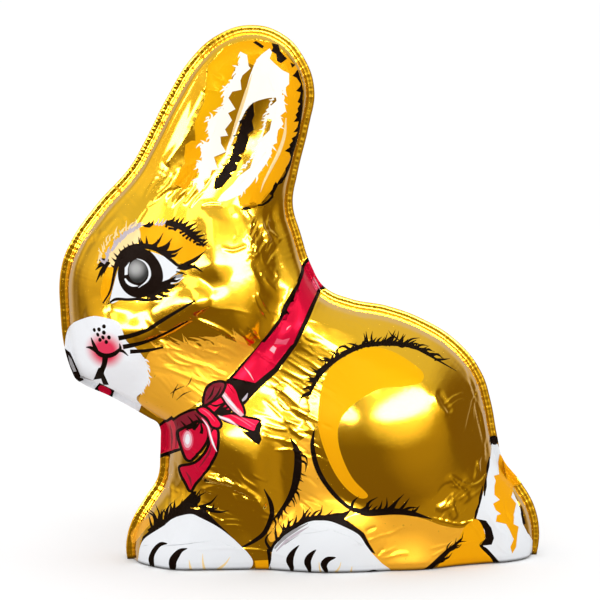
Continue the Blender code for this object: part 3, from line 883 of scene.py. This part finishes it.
SHEAVES = (
    # middle in the picture, half sizes in mm, direction in degrees, number, length, height in mm
    ((215, 350), (15, 8), -24, 24, 11, 0.08),
    ((190, 385), (9, 6), -36, 14, 8, 0.08),
    ((315, 365), (11, 12), -30, 24, 11, 0.035),
    ((275, 410), (8, 10), -34, 16, 8, 0.05),
    ((258, 228), (8, 7), 60, 18, 4, 0.16),
    ((185, 190), (9, 6), 52, 14, 8, 0.14),
    ((274, 232), (5, 6), -60, 12, 4, 0.14),
    ((245, 495), (14, 9), -24, 18, 8, 0.18),
    ((226, 474), (8, 6), -30, 12, 9, 0.2),
    ((300, 430), (6, 9), -20, 18, 5, 0.14),
    ((478, 420), (3, 20), 80, 8, 7, 0.12),
    ((460, 500), (7, 8), 40, 24, 6, 0.09),
    ((105, 225), (8, 12), 50, 18, 8, 0.12),
    ((170, 360), (8, 7), -25, 18, 7, 0.12),
    ((170, 490), (5, 12), 80, 22, 8, 0.14),
    ((300, 500), (10, 9), -30, 14, 7, 0.12),
    ((400, 545), (16, 5), 10, 10, 7, 0.1),
    ((510, 510), (5, 14), -60, 14, 6, 0.12),
    ((360, 318), (16, 5), -24, 16, 6, 0.1),
)
print(len(DOMES) + len(SWELLS) + len(FACETS), "swells", len(CREASES), "creases", len(SHEAVES), "sheaves")

# %% [markdown]
# ## The flat sheet
#
# The sheet is made flat first, as a mesh whose edges run along every outline of the print, so each
# ink ends on a clean line. The Delaunay tool takes the seam, the outlines and a fine lattice of
# points, and joins them with well-shaped triangles. Rows of points follow the seam, closer together
# where the foil will have to climb the side of the figure.

# %% Rows along the seam
# Distances in millimetres, inwards from the seam and upwards from the ground.
ROWS = (0.35, 0.75, 1.15, 1.5, 1.75, 1.95, 2.12, 2.28, 2.45, 2.65, 2.88, 3.15, 3.45, 3.8, 4.2, 4.6, 5.0)
BASE_ROWS = (0.03, 0.12, 0.28, 0.5, 0.8, 1.15, 1.5)
BASE_GAP, LEFT_MARGIN, RIGHT_MARGIN, CORNER_MARGIN = 0.42, 0.4, 0.3, 0.2
ROUND_ZONE = 1.6
CROWDED = 0.97
MEASURE_STEP = 0.1

fine_seam = smooth_line(seam, MEASURE_STEP)
fine_step = lengths_along(fine_seam)[-1] / (len(fine_seam) - 1)
seam_tree = KDTree(len(fine_seam))
for number, (x, z) in enumerate(fine_seam):
    seam_tree.insert((x, z, 0.0), number)
seam_tree.balance()


def from_seam(points):
    """Each point's distance to the seam, and how far along the seam that is."""
    found = [seam_tree.find((x, z, 0.0)) for x, z in points]
    return np.array([hit[2] for hit in found]), np.array([hit[1] for hit in found]) * fine_step


ahead = np.gradient(seam, axis=0)
ahead /= np.linalg.norm(ahead, axis=1, keepdims=True)
inward = np.stack([ahead[:, 1], -ahead[:, 0]], axis=1)

kept = []
for row in ROWS:
    line = (seam + row * inward)[1:-1]
    away, _ = from_seam(line)
    kept.append(line[(away > CROWDED * row) & (line[:, 1] > ROUND_ZONE)])
left_end, right_end = seam[0, 0], seam[-1, 0]
for row in BASE_ROWS:
    xs = np.arange(left_end + LEFT_MARGIN, right_end - RIGHT_MARGIN, BASE_GAP)
    kept.append(np.stack([xs, np.full_like(xs, row)], axis=1))
print("rows", sum(len(line) for line in kept), "points")

# %% Lattice
COARSE, FINE = 0.59, 0.37
LATTICE_MARGIN, LATTICE_START = 0.25, 0.2
TRIANGLE_HEIGHT = 0.866
SHEAF_REACH, CREASE_REACH, CREASE_MARGIN, SEARCH_STEP = 1.5, 2.0, 0.6, 5.0
low_x, low_z = seam.min(axis=0)
high_x, high_z = seam.max(axis=0)


def lattice_of(gap):
    """Points in rows of triangles, this far apart, over the whole figure."""
    found = []
    for number in range(int((high_z - ROUND_ZONE) / (gap * TRIANGLE_HEIGHT))):
        xs = np.arange(low_x + number % 2 * gap / 2.0, high_x, gap)
        z = ROUND_ZONE + LATTICE_START + number * gap * TRIANGLE_HEIGHT
        found.append(np.stack([xs, np.full_like(xs, z)], axis=1))
    return np.vstack(found)


def creased(points):
    """Which points lie where the foil folds finely."""
    found = np.zeros(len(points), bool)
    for centre, halves, *_ in SHEAVES:
        offset = (points - on_figure([centre])[0]) / (SHEAF_REACH * np.array(halves))
        found |= np.hypot(*offset.T) < 1.0
    for route, width, _ in CREASES:
        for place in on_figure(smooth_line(route, SEARCH_STEP)):
            found |= np.hypot(*(points - place).T) < CREASE_REACH * width + CREASE_MARGIN
    return found


def inside(points, outline):
    """Which points lie in the closed outline, by how often it winds round them."""
    turns = np.zeros(len(points), int)
    x, z = points[:, 0], points[:, 1]
    for (ax, az), (bx, bz) in zip(outline, np.roll(outline, -1, axis=0)):
        side = (bx - ax) * (z - az) - (x - ax) * (bz - az)
        turns += ((az <= z) & (bz > z) & (side > 0.0)).astype(int)
        turns -= ((az > z) & (bz <= z) & (side < 0.0)).astype(int)
    return turns != 0


coarse_seam = np.vstack([seam[::3], seam[-1:]])
lattice = []
for gap in (COARSE, FINE):
    spots = lattice_of(gap)
    spots = spots[inside(spots, coarse_seam)]
    fine = creased(spots)
    lattice.append(spots[fine if gap == FINE else ~fine])
lattice = np.vstack(lattice)
away, _ = from_seam(lattice)
lattice = lattice[away > ROWS[-1] + LATTICE_MARGIN]
print("lattice", len(lattice), "points", round(time.time() - started, 1), "s")

# %% Cutting the sheet along the print
SAME_POINT = 1e-4
xs = np.arange(right_end - BASE_GAP, left_end + CORNER_MARGIN, -BASE_GAP)
border = np.vstack([seam, np.stack([xs, np.zeros_like(xs)], axis=1)])
loops = [border] + [on_figure(outline) for _, outline in artwork]
inner = np.vstack([*kept, lattice])
starts = np.cumsum([0] + [len(loop) for loop in loops])
edges = [
    (start + i, start + (i + 1) % len(loop))
    for start, loop in zip(starts, loops)
    for i in range(len(loop))
]
flat_points = [Vector(p) for p in np.vstack([*loops, inner])]
placed, _, triangles, *_ = delaunay_2d_cdt(flat_points, edges, [], 0, SAME_POINT, False)
sheet = np.array([tuple(p) for p in placed])
triangles = np.array(triangles)
middles = sheet[triangles].mean(axis=1)
triangles = triangles[inside(middles, border)]
middles = sheet[triangles].mean(axis=1)
print("sheet", len(sheet), "points", len(triangles), "triangles", round(time.time() - started, 1), "s")

# %% Which ink each triangle wears
INKS = (
    "gold", "amber", "orange", "pale", "cream", "white", "muzzle", "grey", "violet", "pupil", "red",
    "dark_red", "rose", "blush", "black",
)
worn = np.zeros(len(triangles), int)
for (ink, _), loop in zip(artwork, loops[1:]):
    near = np.all((middles > loop.min(axis=0)) & (middles < loop.max(axis=0)), axis=1)
    near[near] = inside(middles[near], loop)
    worn[near] = INKS.index(ink)
print({ink: int((worn == number).sum()) for number, ink in enumerate(INKS)})
print("inks", round(time.time() - started, 1), "s")

# %% [markdown]
# ## Pressing the sheet on the mould
#
# Each point of the sheet is moved back until it meets the mould. The fin stays flat near the middle
# plane, and the foil rises from it over a short smooth step. At the base the foil turns under, so its
# last stretch follows a quarter circle.

# %% Pressed relief
# Distances in millimetres, where the foil leaves the fin, rounds the base and rises to a dome.
FIN_WIDTH, FIN_HALF = 1.9, 0.35
RISE_BEFORE, RISE_AFTER = 0.6, 0.7
EDGE_BEFORE, EDGE_AFTER = 0.12, 0.3
DOME_START, DOME_FULL = 1.5, 6.0
BASE_ROUND = 2.2
THINNEST = 0.05


def ease(values, start, end):
    """Rises smoothly from 0 at start to 1 at end."""
    share = np.clip((values - start) / (end - start), 0.0, 1.0)
    return share * share * (3.0 - 2.0 * share)


def pressed(points, away):
    """How far the foil stands out from the middle plane, in millimetres."""
    depth = np.zeros(len(points))
    straight = Vector((0.0, 1.0, 0.0))
    for number, (x, z) in enumerate(points):
        hit = mould_tree.ray_cast(Vector((x, -FAR_AWAY, max(z, ROUND_ZONE))), straight)[0]
        if hit is not None and hit.y < 0.0:
            depth[number] = -hit.y
    for middle, halves, rise in DOMES:
        offset = points - on_figure([middle])[0]
        left, right, top, bottom = halves
        offset[:, 0] /= np.where(offset[:, 0] < 0.0, left, right)
        offset[:, 1] /= np.where(offset[:, 1] < 0.0, bottom, top)
        depth += rise * ease(1.0 - np.hypot(*offset.T), 0.0, 1.0) * ease(away, DOME_START, DOME_FULL)
    rising = ease(away, FIN_WIDTH - RISE_BEFORE, FIN_WIDTH + RISE_AFTER)
    depth = FIN_HALF + np.clip(depth - FIN_HALF, 0.0, None) * rising
    tuck = np.clip(1.0 - points[:, 1] / BASE_ROUND, 0.0, 1.0)
    depth -= BASE_ROUND * (1.0 - np.sqrt(1.0 - tuck * tuck)) * rising
    return np.maximum(depth, THINNEST)


away, along = from_seam(sheet)
depth = pressed(sheet, away) * ease(away, -EDGE_BEFORE, EDGE_AFTER)
print("pressed, deepest", round(depth.max(), 1), "mm", round(time.time() - started, 1), "s")

# %% Which way the sheet faces
used = np.unique(triangles)
renumber = np.full(len(sheet), -1)
renumber[used] = np.arange(len(used))
sheet, away, along, depth = sheet[used], away[used], along[used], depth[used]
triangles = renumber[triangles]


def normals_of(points, faces):
    """The direction in which the surface faces, at each point."""
    corners = points[faces]
    face_normals = np.cross(corners[:, 1] - corners[:, 0], corners[:, 2] - corners[:, 0])
    found = np.zeros_like(points)
    for corner in range(3):
        np.add.at(found, faces[:, corner], face_normals)
    return found / (np.linalg.norm(found, axis=1, keepdims=True) + 1e-12)


near_points = np.stack([sheet[:, 0], -depth, sheet[:, 1]], axis=1)
normals = normals_of(near_points, triangles)
if normals[:, 1].mean() > 0.0:
    triangles = triangles[:, ::-1]
    normals = -normals
print("sheet on the mould", len(sheet), "points")

# %% [markdown]
# ## Raising the folds
#
# The height of all folds is added up for each point of the sheet, and the point moves out along its
# normal by that much. A swell has a round top, a facet an almost flat slope and a crease a sharp top,
# and a crease fades out at its ends. The fin gets fine pleats of its own, and the foil rises to a
# sharp crest just inside it.

# %% Height of one fold
# The first three are profiles: how high a fold is, from 0 at its edge to 1 along its middle.
def round_top(across):
    return across * across * (3.0 - 2.0 * across)


def flat_slope(roundness):
    return lambda across: across * (1.0 + roundness * (1.0 - across))


def sharp_top(across):
    return across ** 1.6


def add_fold(height, points, line, width, rise, profile, fading=False, taper=1.0):
    """A fold along a line of points, as wide to its left and right as given."""
    left, right = np.broadcast_to(width, 2)
    first_rise, last_rise = np.broadcast_to(rise, 2)
    reach = max(left, right)
    close = np.all((points > line.min(axis=0) - reach) & (points < line.max(axis=0) + reach), axis=1)
    picked = points[close]
    if not len(picked):
        return
    nearest = np.full(len(picked), np.inf)
    share = np.zeros(len(picked))
    sides = np.zeros(len(picked))
    count = len(line) - 1
    for number, (start, end) in enumerate(zip(line, line[1:])):
        way = end - start
        place = np.clip((picked - start) @ way / (way @ way), 0.0, 1.0)
        offset = picked - start - place[:, None] * way
        apart = np.hypot(*offset.T)
        nearer = apart < nearest
        side = (way[0] * offset[:, 1] - way[1] * offset[:, 0]) / (np.hypot(*way) * apart + 1e-9)
        sides[nearer] = side[nearer]
        nearest[nearer] = apart[nearer]
        share[nearer] = (number + place[nearer]) / count
    widths = (left + right + (left - right) * sides) / 2.0 * (1.0 + (taper - 1.0) * share)
    rises = first_rise + (last_rise - first_rise) * share
    across = np.clip(1.0 - nearest / widths, 0.0, None)
    fade = np.clip(4.0 * share * (1.0 - share), 0.0, 1.0) ** 0.5 if fading else 1.0
    height[close] += rises * fade * profile(across)


# %% Dents, sheaves and pleats
# Sizes in millimetres and turns in degrees, as ranges to choose from or as the usual spread.
DENTS, DENT_SIZE, DENT_RISE, DENT_REACH = 260, (2.5, 8.0), 0.055, 2.5
CREASE_TURN, CREASE_BEND, CREASE_STEP = 10.0, 0.2, 1.5
CREASE_LENGTH, CREASE_WIDTH, CREASE_RISE = (0.5, 1.4), (0.45, 1.0), (0.8, 2.0)
PLEAT_WIDTH, PLEAT_REACH, PLEAT_RISE = (0.45, 1.0), (1.2, 4.5), (0.02, 0.12)
LONG_PLEATS, LONGER, PLEAT_START = 0.12, 2.2, 1.2


def dented(points, chance):
    """Soft dents of a few millimetres all over."""
    height = np.zeros(len(points))
    for _ in range(DENTS):
        centre = chance.uniform((low_x, low_z), (high_x, high_z))
        size = chance.uniform(*DENT_SIZE)
        rise = chance.normal(0.0, DENT_RISE)
        close = np.hypot(*(points - centre).T) < DENT_REACH * size
        reach = np.hypot(*(points[close] - centre).T) / size
        height[close] += rise * np.exp(-reach * reach)
    return height


def sheaved(points, chance):
    """Sheaves of short parallel creases."""
    height = np.zeros(len(points))
    for centre, halves, turn, count, length, rise in SHEAVES:
        middle = on_figure([centre])[0]
        for _ in range(count):
            root = middle + chance.normal(0.0, 0.5, 2) * halves
            way = math.radians(turn + chance.normal(0.0, CREASE_TURN))
            long = length * chance.uniform(*CREASE_LENGTH)
            reach = np.array([math.cos(way), math.sin(way)]) * long / 2.0
            aside = np.array([-reach[1], reach[0]]) * chance.normal(0.0, CREASE_BEND)
            line = smooth_line([root - reach, root + aside, root + reach], CREASE_STEP)
            sign = chance.choice((1.0, 1.0, -1.0))
            width = chance.uniform(*CREASE_WIDTH)
            height_here = sign * rise * chance.uniform(*CREASE_RISE)
            add_fold(height, points, line, width, height_here, sharp_top, fading=True)
    return height


def pleats(along, away, chance):
    """Pleats across the fin that fade out up the side of the figure."""
    total = np.zeros(len(along))
    place = 0.0
    while place < along.max():
        width = chance.uniform(*PLEAT_WIDTH)
        reach = chance.uniform(*PLEAT_REACH) * (LONGER if chance.random() < LONG_PLEATS else 1.0)
        rise = chance.uniform(*PLEAT_RISE)
        across = np.clip(1.0 - np.abs(along - place) / width, 0.0, None)
        total += rise * across ** 1.4 * np.exp(-np.clip(away - PLEAT_START, 0.0, None) / reach)
        place += width * chance.uniform(1.0, 2.0)
    return total


# %% Raising them on the near half
# Distances in millimetres, except the two places, which are picture points.
ROUTE_STEP = 6.0
FOLD_START, FOLD_FULL = 1.5, 4.0
CREST_IN, CREST_WIDTH, CREST, CREST_LEAST = 3.7, 1.1, 0.4, 0.35
CREST_FROM, EAR_TIP, FACE_FADE, TIP_FADE = (84.0, 250.0), (215.0, 46.0), 16.0, 6.0
KNURL_GAP, KNURL_RISE, KNURL_EDGE, KNURL_SPAN = 1.1, 0.12, 1.0, (46.0, 42.0, 14.0, 8.0)
LEAST_DEPTH, EDGE_CLOSED, EDGE_OPEN = 0.02, 0.06, 0.35


def between(values, start, full, fading, gone):
    """Rises from 0 at start to 1 at full, and falls back from fading to gone."""
    return ease(values, start, full) * (1.0 - ease(values, fading, gone))


def folded(chance):
    """How far each point of the sheet is lifted off the mould, in millimetres."""
    height = dented(sheet, chance) + sheaved(sheet, chance)
    for folds, profile in ((SWELLS, round_top), (CREASES, sharp_top)):
        for route, width, rise in folds:
            line = on_figure(smooth_line(route, ROUTE_STEP))
            add_fold(height, sheet, line, width, rise, profile, fading=profile is sharp_top)
    for route, width, rises, taper, roundness in FACETS:
        line = on_figure(smooth_line(route, ROUTE_STEP))
        add_fold(height, sheet, line, width, rises, flat_slope(roundness), taper=taper)
    height *= ease(away, FOLD_START, FOLD_FULL)
    face, tip = (from_seam(on_figure([place]))[1][0] for place in (CREST_FROM, EAR_TIP))
    strong = between(along, face - FACE_FADE, face, tip - TIP_FADE, tip)
    crest = np.clip(1.0 - np.abs(away - CREST_IN) / CREST_WIDTH, 0.0, None)
    height += CREST * (CREST_LEAST + (1.0 - CREST_LEAST) * strong) * crest ** 1.5
    height += pleats(along, away, chance) * ease(away, 0.0, 0.6)
    knurled = between(along, *(tip - back for back in KNURL_SPAN)) * (away < KNURL_EDGE)
    height += KNURL_RISE * knurled * np.cos(math.tau * along / KNURL_GAP)
    return height * ease(sheet[:, 1], 0.0, 1.0)


def lifted(seed):
    """The near half's points with folds and crumples for this seed, closed along the seam."""
    points = near_points + normals * folded(np.random.default_rng(seed))[:, None]
    points[:, 1] = np.minimum(points[:, 1], -LEAST_DEPTH) * ease(away, EDGE_CLOSED, EDGE_OPEN)
    points[:, 2] = np.maximum(points[:, 2], 0.0)
    return points


near_foil, far_foil = lifted(11), lifted(12) * (1.0, -1.0, 1.0)
print("folded", round(time.time() - started, 1), "s")

# %% [markdown]
# ## Foil and inks
#
# The foil is aluminium under a yellow lacquer, so it is a metal with a yellow reflection. Inks are
# transparent or opaque films on it: the opaque ones hide the metal and are only glossy, and the red
# and amber ones let some of it through. One material is made for each, with the same fine grain in
# the gloss, and all of them darken over the last millimetre above the ground, where the foil turns
# under the base: that is painted shade, a dark line where the figure meets the floor.

# %% Shader nodes


def wire(tree, made, wires):
    """Give each of a node's sockets a value, or a link from another node's output."""
    for socket, value in wires.items():
        if isinstance(value, bpy.types.NodeSocket):
            tree.links.new(value, made.inputs[socket])
        else:
            made.inputs[socket].default_value = value


def add_node(tree, kind, wires, **properties):
    """Add a shader node, set its properties, wire its sockets and return its outputs."""
    made = tree.nodes.new("ShaderNode" + kind)
    for name, value in properties.items():
        setattr(made, name, value)
    wire(tree, made, wires)
    return made.outputs


def stepped(tree, value, start, end, first=0.0, last=1.0):
    """A smooth step from first to last, as the value goes from start to end."""
    ends = {"From Min": start, "From Max": end, "To Min": first, "To Max": last}
    return add_node(tree, "MapRange", {"Value": value, **ends}, interpolation_type="SMOOTHSTEP")["Result"]


def mixed(tree, share, under, over, blend="MIX"):
    """The colour under, with a share of the colour over laid on it."""
    wires = {"Fac": share, "Color1": under, "Color2": over}
    return add_node(tree, "MixRGB", wires, blend_type=blend)["Color"]


# %% Inks
GRAIN, GRAIN_DETAIL, BUMP = 900.0, 3.0, 0.02
LEAST_GLOSS, MOST_GLOSS = 1.3, 0.75
# Painted shade: all inks darken to this share of their colour over this height above the ground, a dark
# line where the figure meets the floor.
PAINTED_SHADE_HEIGHT, PAINTED_SHADE_LEVEL = 1.3, 0.12
FILM = {"Coat Roughness": 0.12, "Coat IOR": 1.45, "Specular IOR Level": 0.05}
FINISHES = {
    # colour, metallic, roughness
    "gold": ((1.0, 0.60, 0.026), 1.0, 0.11),
    "amber": ((0.95, 0.46, 0.035), 0.35, 0.3),
    "orange": ((0.86, 0.37, 0.0008), 0.05, 0.35),
    # pale and cream are print, and are also used for the painted highlight in the inner ear.
    "pale": ((0.97, 0.95, 0.86), 0.0, 0.3),
    "cream": ((0.92, 0.68, 0.33), 0.05, 0.4),
    "white": ((0.79, 0.81, 0.84), 0.0, 0.35),
    "muzzle": ((0.80, 0.81, 0.84), 0.0, 0.35),
    "grey": ((0.30, 0.29, 0.30), 0.05, 0.4),
    "violet": ((0.50, 0.44, 0.50), 0.05, 0.4),
    "pupil": ((0.03, 0.03, 0.03), 0.05, 0.4),
    "red": ((0.62, 0.003, 0.037), 0.2, 0.3),
    "dark_red": ((0.20, 0.010, 0.022), 0.0, 0.35),
    "rose": ((0.72, 0.085, 0.155), 0.1, 0.35),
    "blush": ((0.80, 0.43, 0.49), 0.05, 0.35),
    "black": ((0.006, 0.002, 0.001), 0.0, 0.5),
}


def foil_material(name, colour, metallic, roughness):
    material = bpy.data.materials.new(name)
    material.use_nodes = True
    tree = material.node_tree
    place = add_node(tree, "TexCoord", {})["Object"]
    height = add_node(tree, "SeparateXYZ", {"Vector": place})["Z"]
    # Painted shade: the colour darkens towards the ground over the last millimetre.
    above_painted_shade = stepped(tree, height, 0.0, PAINTED_SHADE_HEIGHT * MM)
    shade = [PAINTED_SHADE_LEVEL * part for part in colour]
    noise = {"Scale": GRAIN, "Detail": GRAIN_DETAIL, "Vector": place}
    grain = add_node(tree, "TexNoise", noise)["Fac"]
    gloss = {"Value": grain, "To Min": roughness * MOST_GLOSS, "To Max": roughness * LEAST_GLOSS}
    relief = {"Strength": 1.0, "Distance": BUMP * MM, "Height": grain}
    wire(tree, tree.nodes["Principled BSDF"], {
        "Base Color": mixed(tree, above_painted_shade, (*shade, 1.0), (*colour, 1.0)),
        "Metallic": metallic,
        "Roughness": add_node(tree, "MapRange", gloss)["Result"],
        "Normal": add_node(tree, "Bump", relief)["Normal"],
        "Coat Weight": 1.0 if name == "gold" else 0.0,
        **FILM,
    })
    return material


materials = [foil_material(ink, *FINISHES[ink]) for ink in INKS]
print("inks", len(materials))

# %% Inks that fade
SPOTS = (
    # ink, middle in the picture, radii in mm where the spot starts and stops fading, colour
    # The first muzzle spot is painted shade, grey low on the muzzle.
    ("muzzle", (78.0, 380.0), 1.0, 7.0, (0.60, 0.60, 0.62)),
    ("muzzle", (105.0, 351.0), 2.2, 6.0, (0.70, 0.035, 0.09)),
    ("pupil", (136.0, 269.0), 0.4, 3.4, (0.40, 0.40, 0.40)),
    ("orange", (378.0, 368.0), 8.0, 30.0, (0.88, 0.45, 0.0008)),
    ("orange", (216.0, 90.0), 4.0, 20.0, (0.86, 0.43, 0.001)),
)


def add_spot(ink, middle, inner, outer, colour):
    """A soft round spot of another colour, the same on both sides of the figure."""
    tree = materials[INKS.index(ink)].node_tree
    base = tree.nodes["Principled BSDF"].inputs["Base Color"]
    x, z = on_figure([middle])[0] * MM
    place = add_node(tree, "TexCoord", {})["Object"]
    flat = add_node(tree, "VectorMath", {0: place, 1: (1.0, 0.0, 1.0)}, operation="MULTIPLY")["Vector"]
    apart = add_node(tree, "VectorMath", {0: flat, 1: (x, 0.0, z)}, operation="DISTANCE")["Value"]
    share = stepped(tree, apart, inner * MM, outer * MM, 1.0, 0.0)
    tree.links.new(mixed(tree, share, base.links[0].from_socket, (*colour, 1.0)), base)


for spot in SPOTS:
    add_spot(*spot)
print("spots", len(SPOTS))

# %% [markdown]
# ## Two halves and the base
#
# The far half is the near one with y turned round, so its triangles are turned round too, or they
# would face inwards. The lower edge of each half is then extruded and scaled to nothing in y. That
# folds the foil flat under the base, up to the middle plane, where the two halves meet. Each half
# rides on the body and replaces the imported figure.

# %% The two halves
def foil_mesh(name, points, faces, materials, slots):
    mesh = bpy.data.meshes.new(name)
    mesh.from_pydata((points * MM).tolist(), [], faces.tolist())
    for material in materials:
        mesh.materials.append(material)
    mesh.polygons.foreach_set("material_index", slots.astype(np.int32))
    mesh.polygons.foreach_set("use_smooth", np.ones(len(faces), bool))
    mesh.validate()
    mesh.update()
    piece = bpy.data.objects.new(name, mesh)
    bpy.context.scene.collection.objects.link(piece)
    return piece


near = foil_mesh("foil_near", near_foil, triangles, materials, worn)
far = foil_mesh("foil_far", far_foil, triangles[:, ::-1], materials, worn)
bpy.data.objects.remove(mould, do_unlink=True)
print("halves", len(triangles), "triangles each")

# %% Folding the foil under the base
FLAT = 0.02
WELD_ENDS = 0.0001
for piece in (near, far):
    in_edit_mode(piece)
    bpy.ops.mesh.select_all(action="DESELECT")
    mesh = bmesh.from_edit_mesh(piece.data)
    for edge in mesh.edges:
        ends = [vertex.co / MM for vertex in edge.verts]
        on_ground = max(end.z for end in ends) < FLAT
        off_the_seam = max(abs(end.y) for end in ends) > FLAT / 2.0
        edge.select_set(edge.is_boundary and on_ground and off_the_seam)
    bmesh.update_edit_mesh(piece.data)
    bpy.ops.mesh.extrude_region_move()
    bpy.ops.transform.resize(value=(1.0, 0.0, 1.0), center_override=(0.0, 0.0, 0.0))
    bpy.ops.mesh.remove_doubles(threshold=WELD_ENDS * MM, use_unselected=True)
    bpy.ops.object.mode_set(mode="OBJECT")
    print(piece.name, sum(len(face.vertices) - 2 for face in piece.data.polygons), "triangles")
for piece in (near, far):
    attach(piece, "root")
    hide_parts("bunny")
print("halves", round(time.time() - started, 1), "s")

# %% [markdown]
# ## Floor and light
#
# Foil shows what is round it more than its own colour, so the room matters as much as the material.
# The figure stands on a pale floor in a light tent: bright behind and above, dimmer and warmer in
# front and below, where the camera and the table are. One soft box fills the shadows. The white
# highlights are bright oval panels in the tent, and only the gloss sees them.

# %% Floor
FLOOR_SIZE = 8.0
bpy.ops.object.select_all(action="DESELECT")
bpy.ops.mesh.primitive_plane_add(size=FLOOR_SIZE, location=(0.0, 0.0, 0.0))
floor = bpy.context.active_object
floor.name = "floor"
pale = bpy.data.materials.new("pale_floor")
pale.use_nodes = True
wire(pale.node_tree, pale.node_tree.nodes["Principled BSDF"], {
    "Base Color": (0.95, 0.95, 0.95, 1.0), "Roughness": 0.8, "Specular IOR Level": 0.0,
})
floor.data.materials.append(pale)
floor.visible_glossy = False
print("floor", FLOOR_SIZE, "m wide")

# %% Soft box
FIGURE_MIDDLE = Vector((0.0, 0.0, 0.075))
BOX_DISTANCE, BOX_SIZE, BOX_POWER = 1.1, 0.5, 1.6


def towards(azimuth, elevation):
    """A direction in the room, in degrees to the right of the camera and above it."""
    azimuth, elevation = math.radians(azimuth), math.radians(elevation)
    level = math.cos(elevation)
    return Vector((math.sin(azimuth) * level, -math.cos(azimuth) * level, math.sin(elevation)))


box_place = FIGURE_MIDDLE + towards(-15.0, 50.0) * BOX_DISTANCE
bpy.ops.object.light_add(type="AREA", location=box_place)
light = bpy.context.active_object
light.name = "fill_light"
light.data.shape = "RECTANGLE"
light.data.size = light.data.size_y = BOX_SIZE
light.data.energy = BOX_POWER
light.rotation_euler = (FIGURE_MIDDLE - box_place).to_track_quat("-Z", "Y").to_euler()
print("soft box", light.data.energy, "W")

# %% Light tent
PANEL_CORE, PANEL_RIM = 0.8, 1.2
HALF_WAY = 0.5
world = bpy.data.worlds.new("light_tent")
bpy.context.scene.world = world
world.use_nodes = True
tent = world.node_tree
way = add_node(tent, "TexCoord", {})["Generated"]
part = add_node(tent, "SeparateXYZ", {"Vector": way})
raised = add_node(tent, "MapRange", {"Value": part["Z"], "From Min": -1.0, "From Max": 1.0})["Result"]


def height_ramp(stops):
    """The room's colour by height, from stops of height (-1 to 1) and colour."""
    ramp = tent.nodes.new("ShaderNodeValToRGB")
    elements = ramp.color_ramp.elements
    for element, (height, colour) in zip(elements, (stops[0], stops[-1])):
        element.position = (height + 1.0) / 2.0
        element.color = (*colour, 1.0)
    for height, colour in stops[1:-1]:
        elements.new((height + 1.0) / 2.0).color = (*colour, 1.0)
    wire(tent, ramp, {"Fac": raised})
    return ramp.outputs["Color"]


def calculated(operation, first, second):
    return add_node(tent, "Math", {0: first, 1: second}, operation=operation)["Value"]


def facing(direction):
    """How much the way that a ray leaves the figure agrees with this direction."""
    return add_node(tent, "VectorMath", {0: way, 1: direction}, operation="DOT_PRODUCT")["Value"]


def glow(room, azimuth, elevation, inner, outer, colour, blend="ADD"):
    """Adds a soft round patch of light to the room's colour, or lays one over it."""
    near_edge, far_edge = (math.cos(math.radians(angle)) for angle in (inner, outer))
    share = stepped(tent, facing(towards(azimuth, elevation)), far_edge, near_edge)
    return mixed(tent, share, room, (*colour, 1.0), blend)


def soft_panel(room, azimuth, elevation, half_sizes, brightness):
    """A bright oval panel with soft edges; all its sizes are in degrees."""
    ahead = towards(azimuth, elevation)
    aside = Vector((math.cos(math.radians(azimuth)), math.sin(math.radians(azimuth)), 0.0))
    squares = []
    for axis, half in zip((aside, aside.cross(ahead)), half_sizes):
        across = facing(axis / math.sin(math.radians(half)))
        squares.append(calculated("MULTIPLY", across, across))
    falling = stepped(tent, calculated("ADD", *squares), PANEL_CORE ** 2, PANEL_RIM ** 2, 1.0, 0.0)
    share = calculated("MULTIPLY", falling, calculated("GREATER_THAN", facing(ahead), HALF_WAY))
    return mixed(tent, share, room, (brightness, brightness, brightness, 1.0), "ADD")


# %% The room that the foil reflects
BACK_START, BACK_FULL = 0.4, 0.75
GLOWS = (
    # azimuth, elevation, radii where it starts and stops fading, in degrees, colour, blend
    (20.0, 28.0, 8.0, 42.0, (0.80, 0.75, 0.40), "ADD"),
    (46.0, 24.0, 2.0, 30.0, (0.12, 0.10, 0.03), "ADD"),
    (45.0, -8.0, 2.0, 46.0, (0.18, 0.14, 0.03), "ADD"),
    (-78.0, 14.0, 6.0, 44.0, (0.46, 0.38, 0.14), "ADD"),
    (103.0, 8.0, 6.0, 30.0, (0.19, 0.12, 0.015), "MIX"),
)
PANELS = (
    # azimuth, elevation, half width and half height in degrees, brightness
    (25.0, 28.5, (27.0, 8.0), 16.0),
    (-52.0, 23.0, (8.5, 7.5), 12.0),
    (-34.0, 22.0, (10.0, 5.5), 14.0),
)
in_front = height_ramp((
    (-0.8, (0.19, 0.125, 0.02)), (-0.15, (0.20, 0.14, 0.022)), (0.1, (0.27, 0.20, 0.035)),
    (0.5, (0.50, 0.43, 0.16)), (0.7, (0.72, 0.66, 0.30)), (1.0, (0.78, 0.73, 0.40)),
))
for patch in GLOWS:
    in_front = glow(in_front, *patch)
for panel in PANELS:
    in_front = soft_panel(in_front, *panel)
at_the_back = height_ramp((
    (-0.5, (0.48, 0.40, 0.34)), (0.0, (0.56, 0.48, 0.44)), (0.3, (0.62, 0.55, 0.50)),
    (0.6, (0.72, 0.66, 0.50)), (1.0, (0.78, 0.73, 0.40)),
))
room = mixed(tent, stepped(tent, part["Y"], BACK_START, BACK_FULL), in_front, at_the_back)
print("tent with", len(GLOWS), "glows and", len(PANELS), "panels")

# %% What the floor and the camera see
seen = add_node(tent, "LightPath", {})
for rays, colour in (
    (calculated("GREATER_THAN", seen["Diffuse Depth"], HALF_WAY), (0.12, 0.10, 0.07)),
    (seen["Is Diffuse Ray"], (1.06, 1.06, 1.06)),
    (seen["Is Camera Ray"], (1.0, 1.0, 1.0)),
):
    room = mixed(tent, rays, room, (*colour, 1.0))
wire(tent, tent.nodes["Background"], {"Color": room})
world.cycles.sampling_method = "NONE"
bpy.context.scene.view_settings.view_transform = "Standard"
print("tent", len(tent.nodes), "nodes")
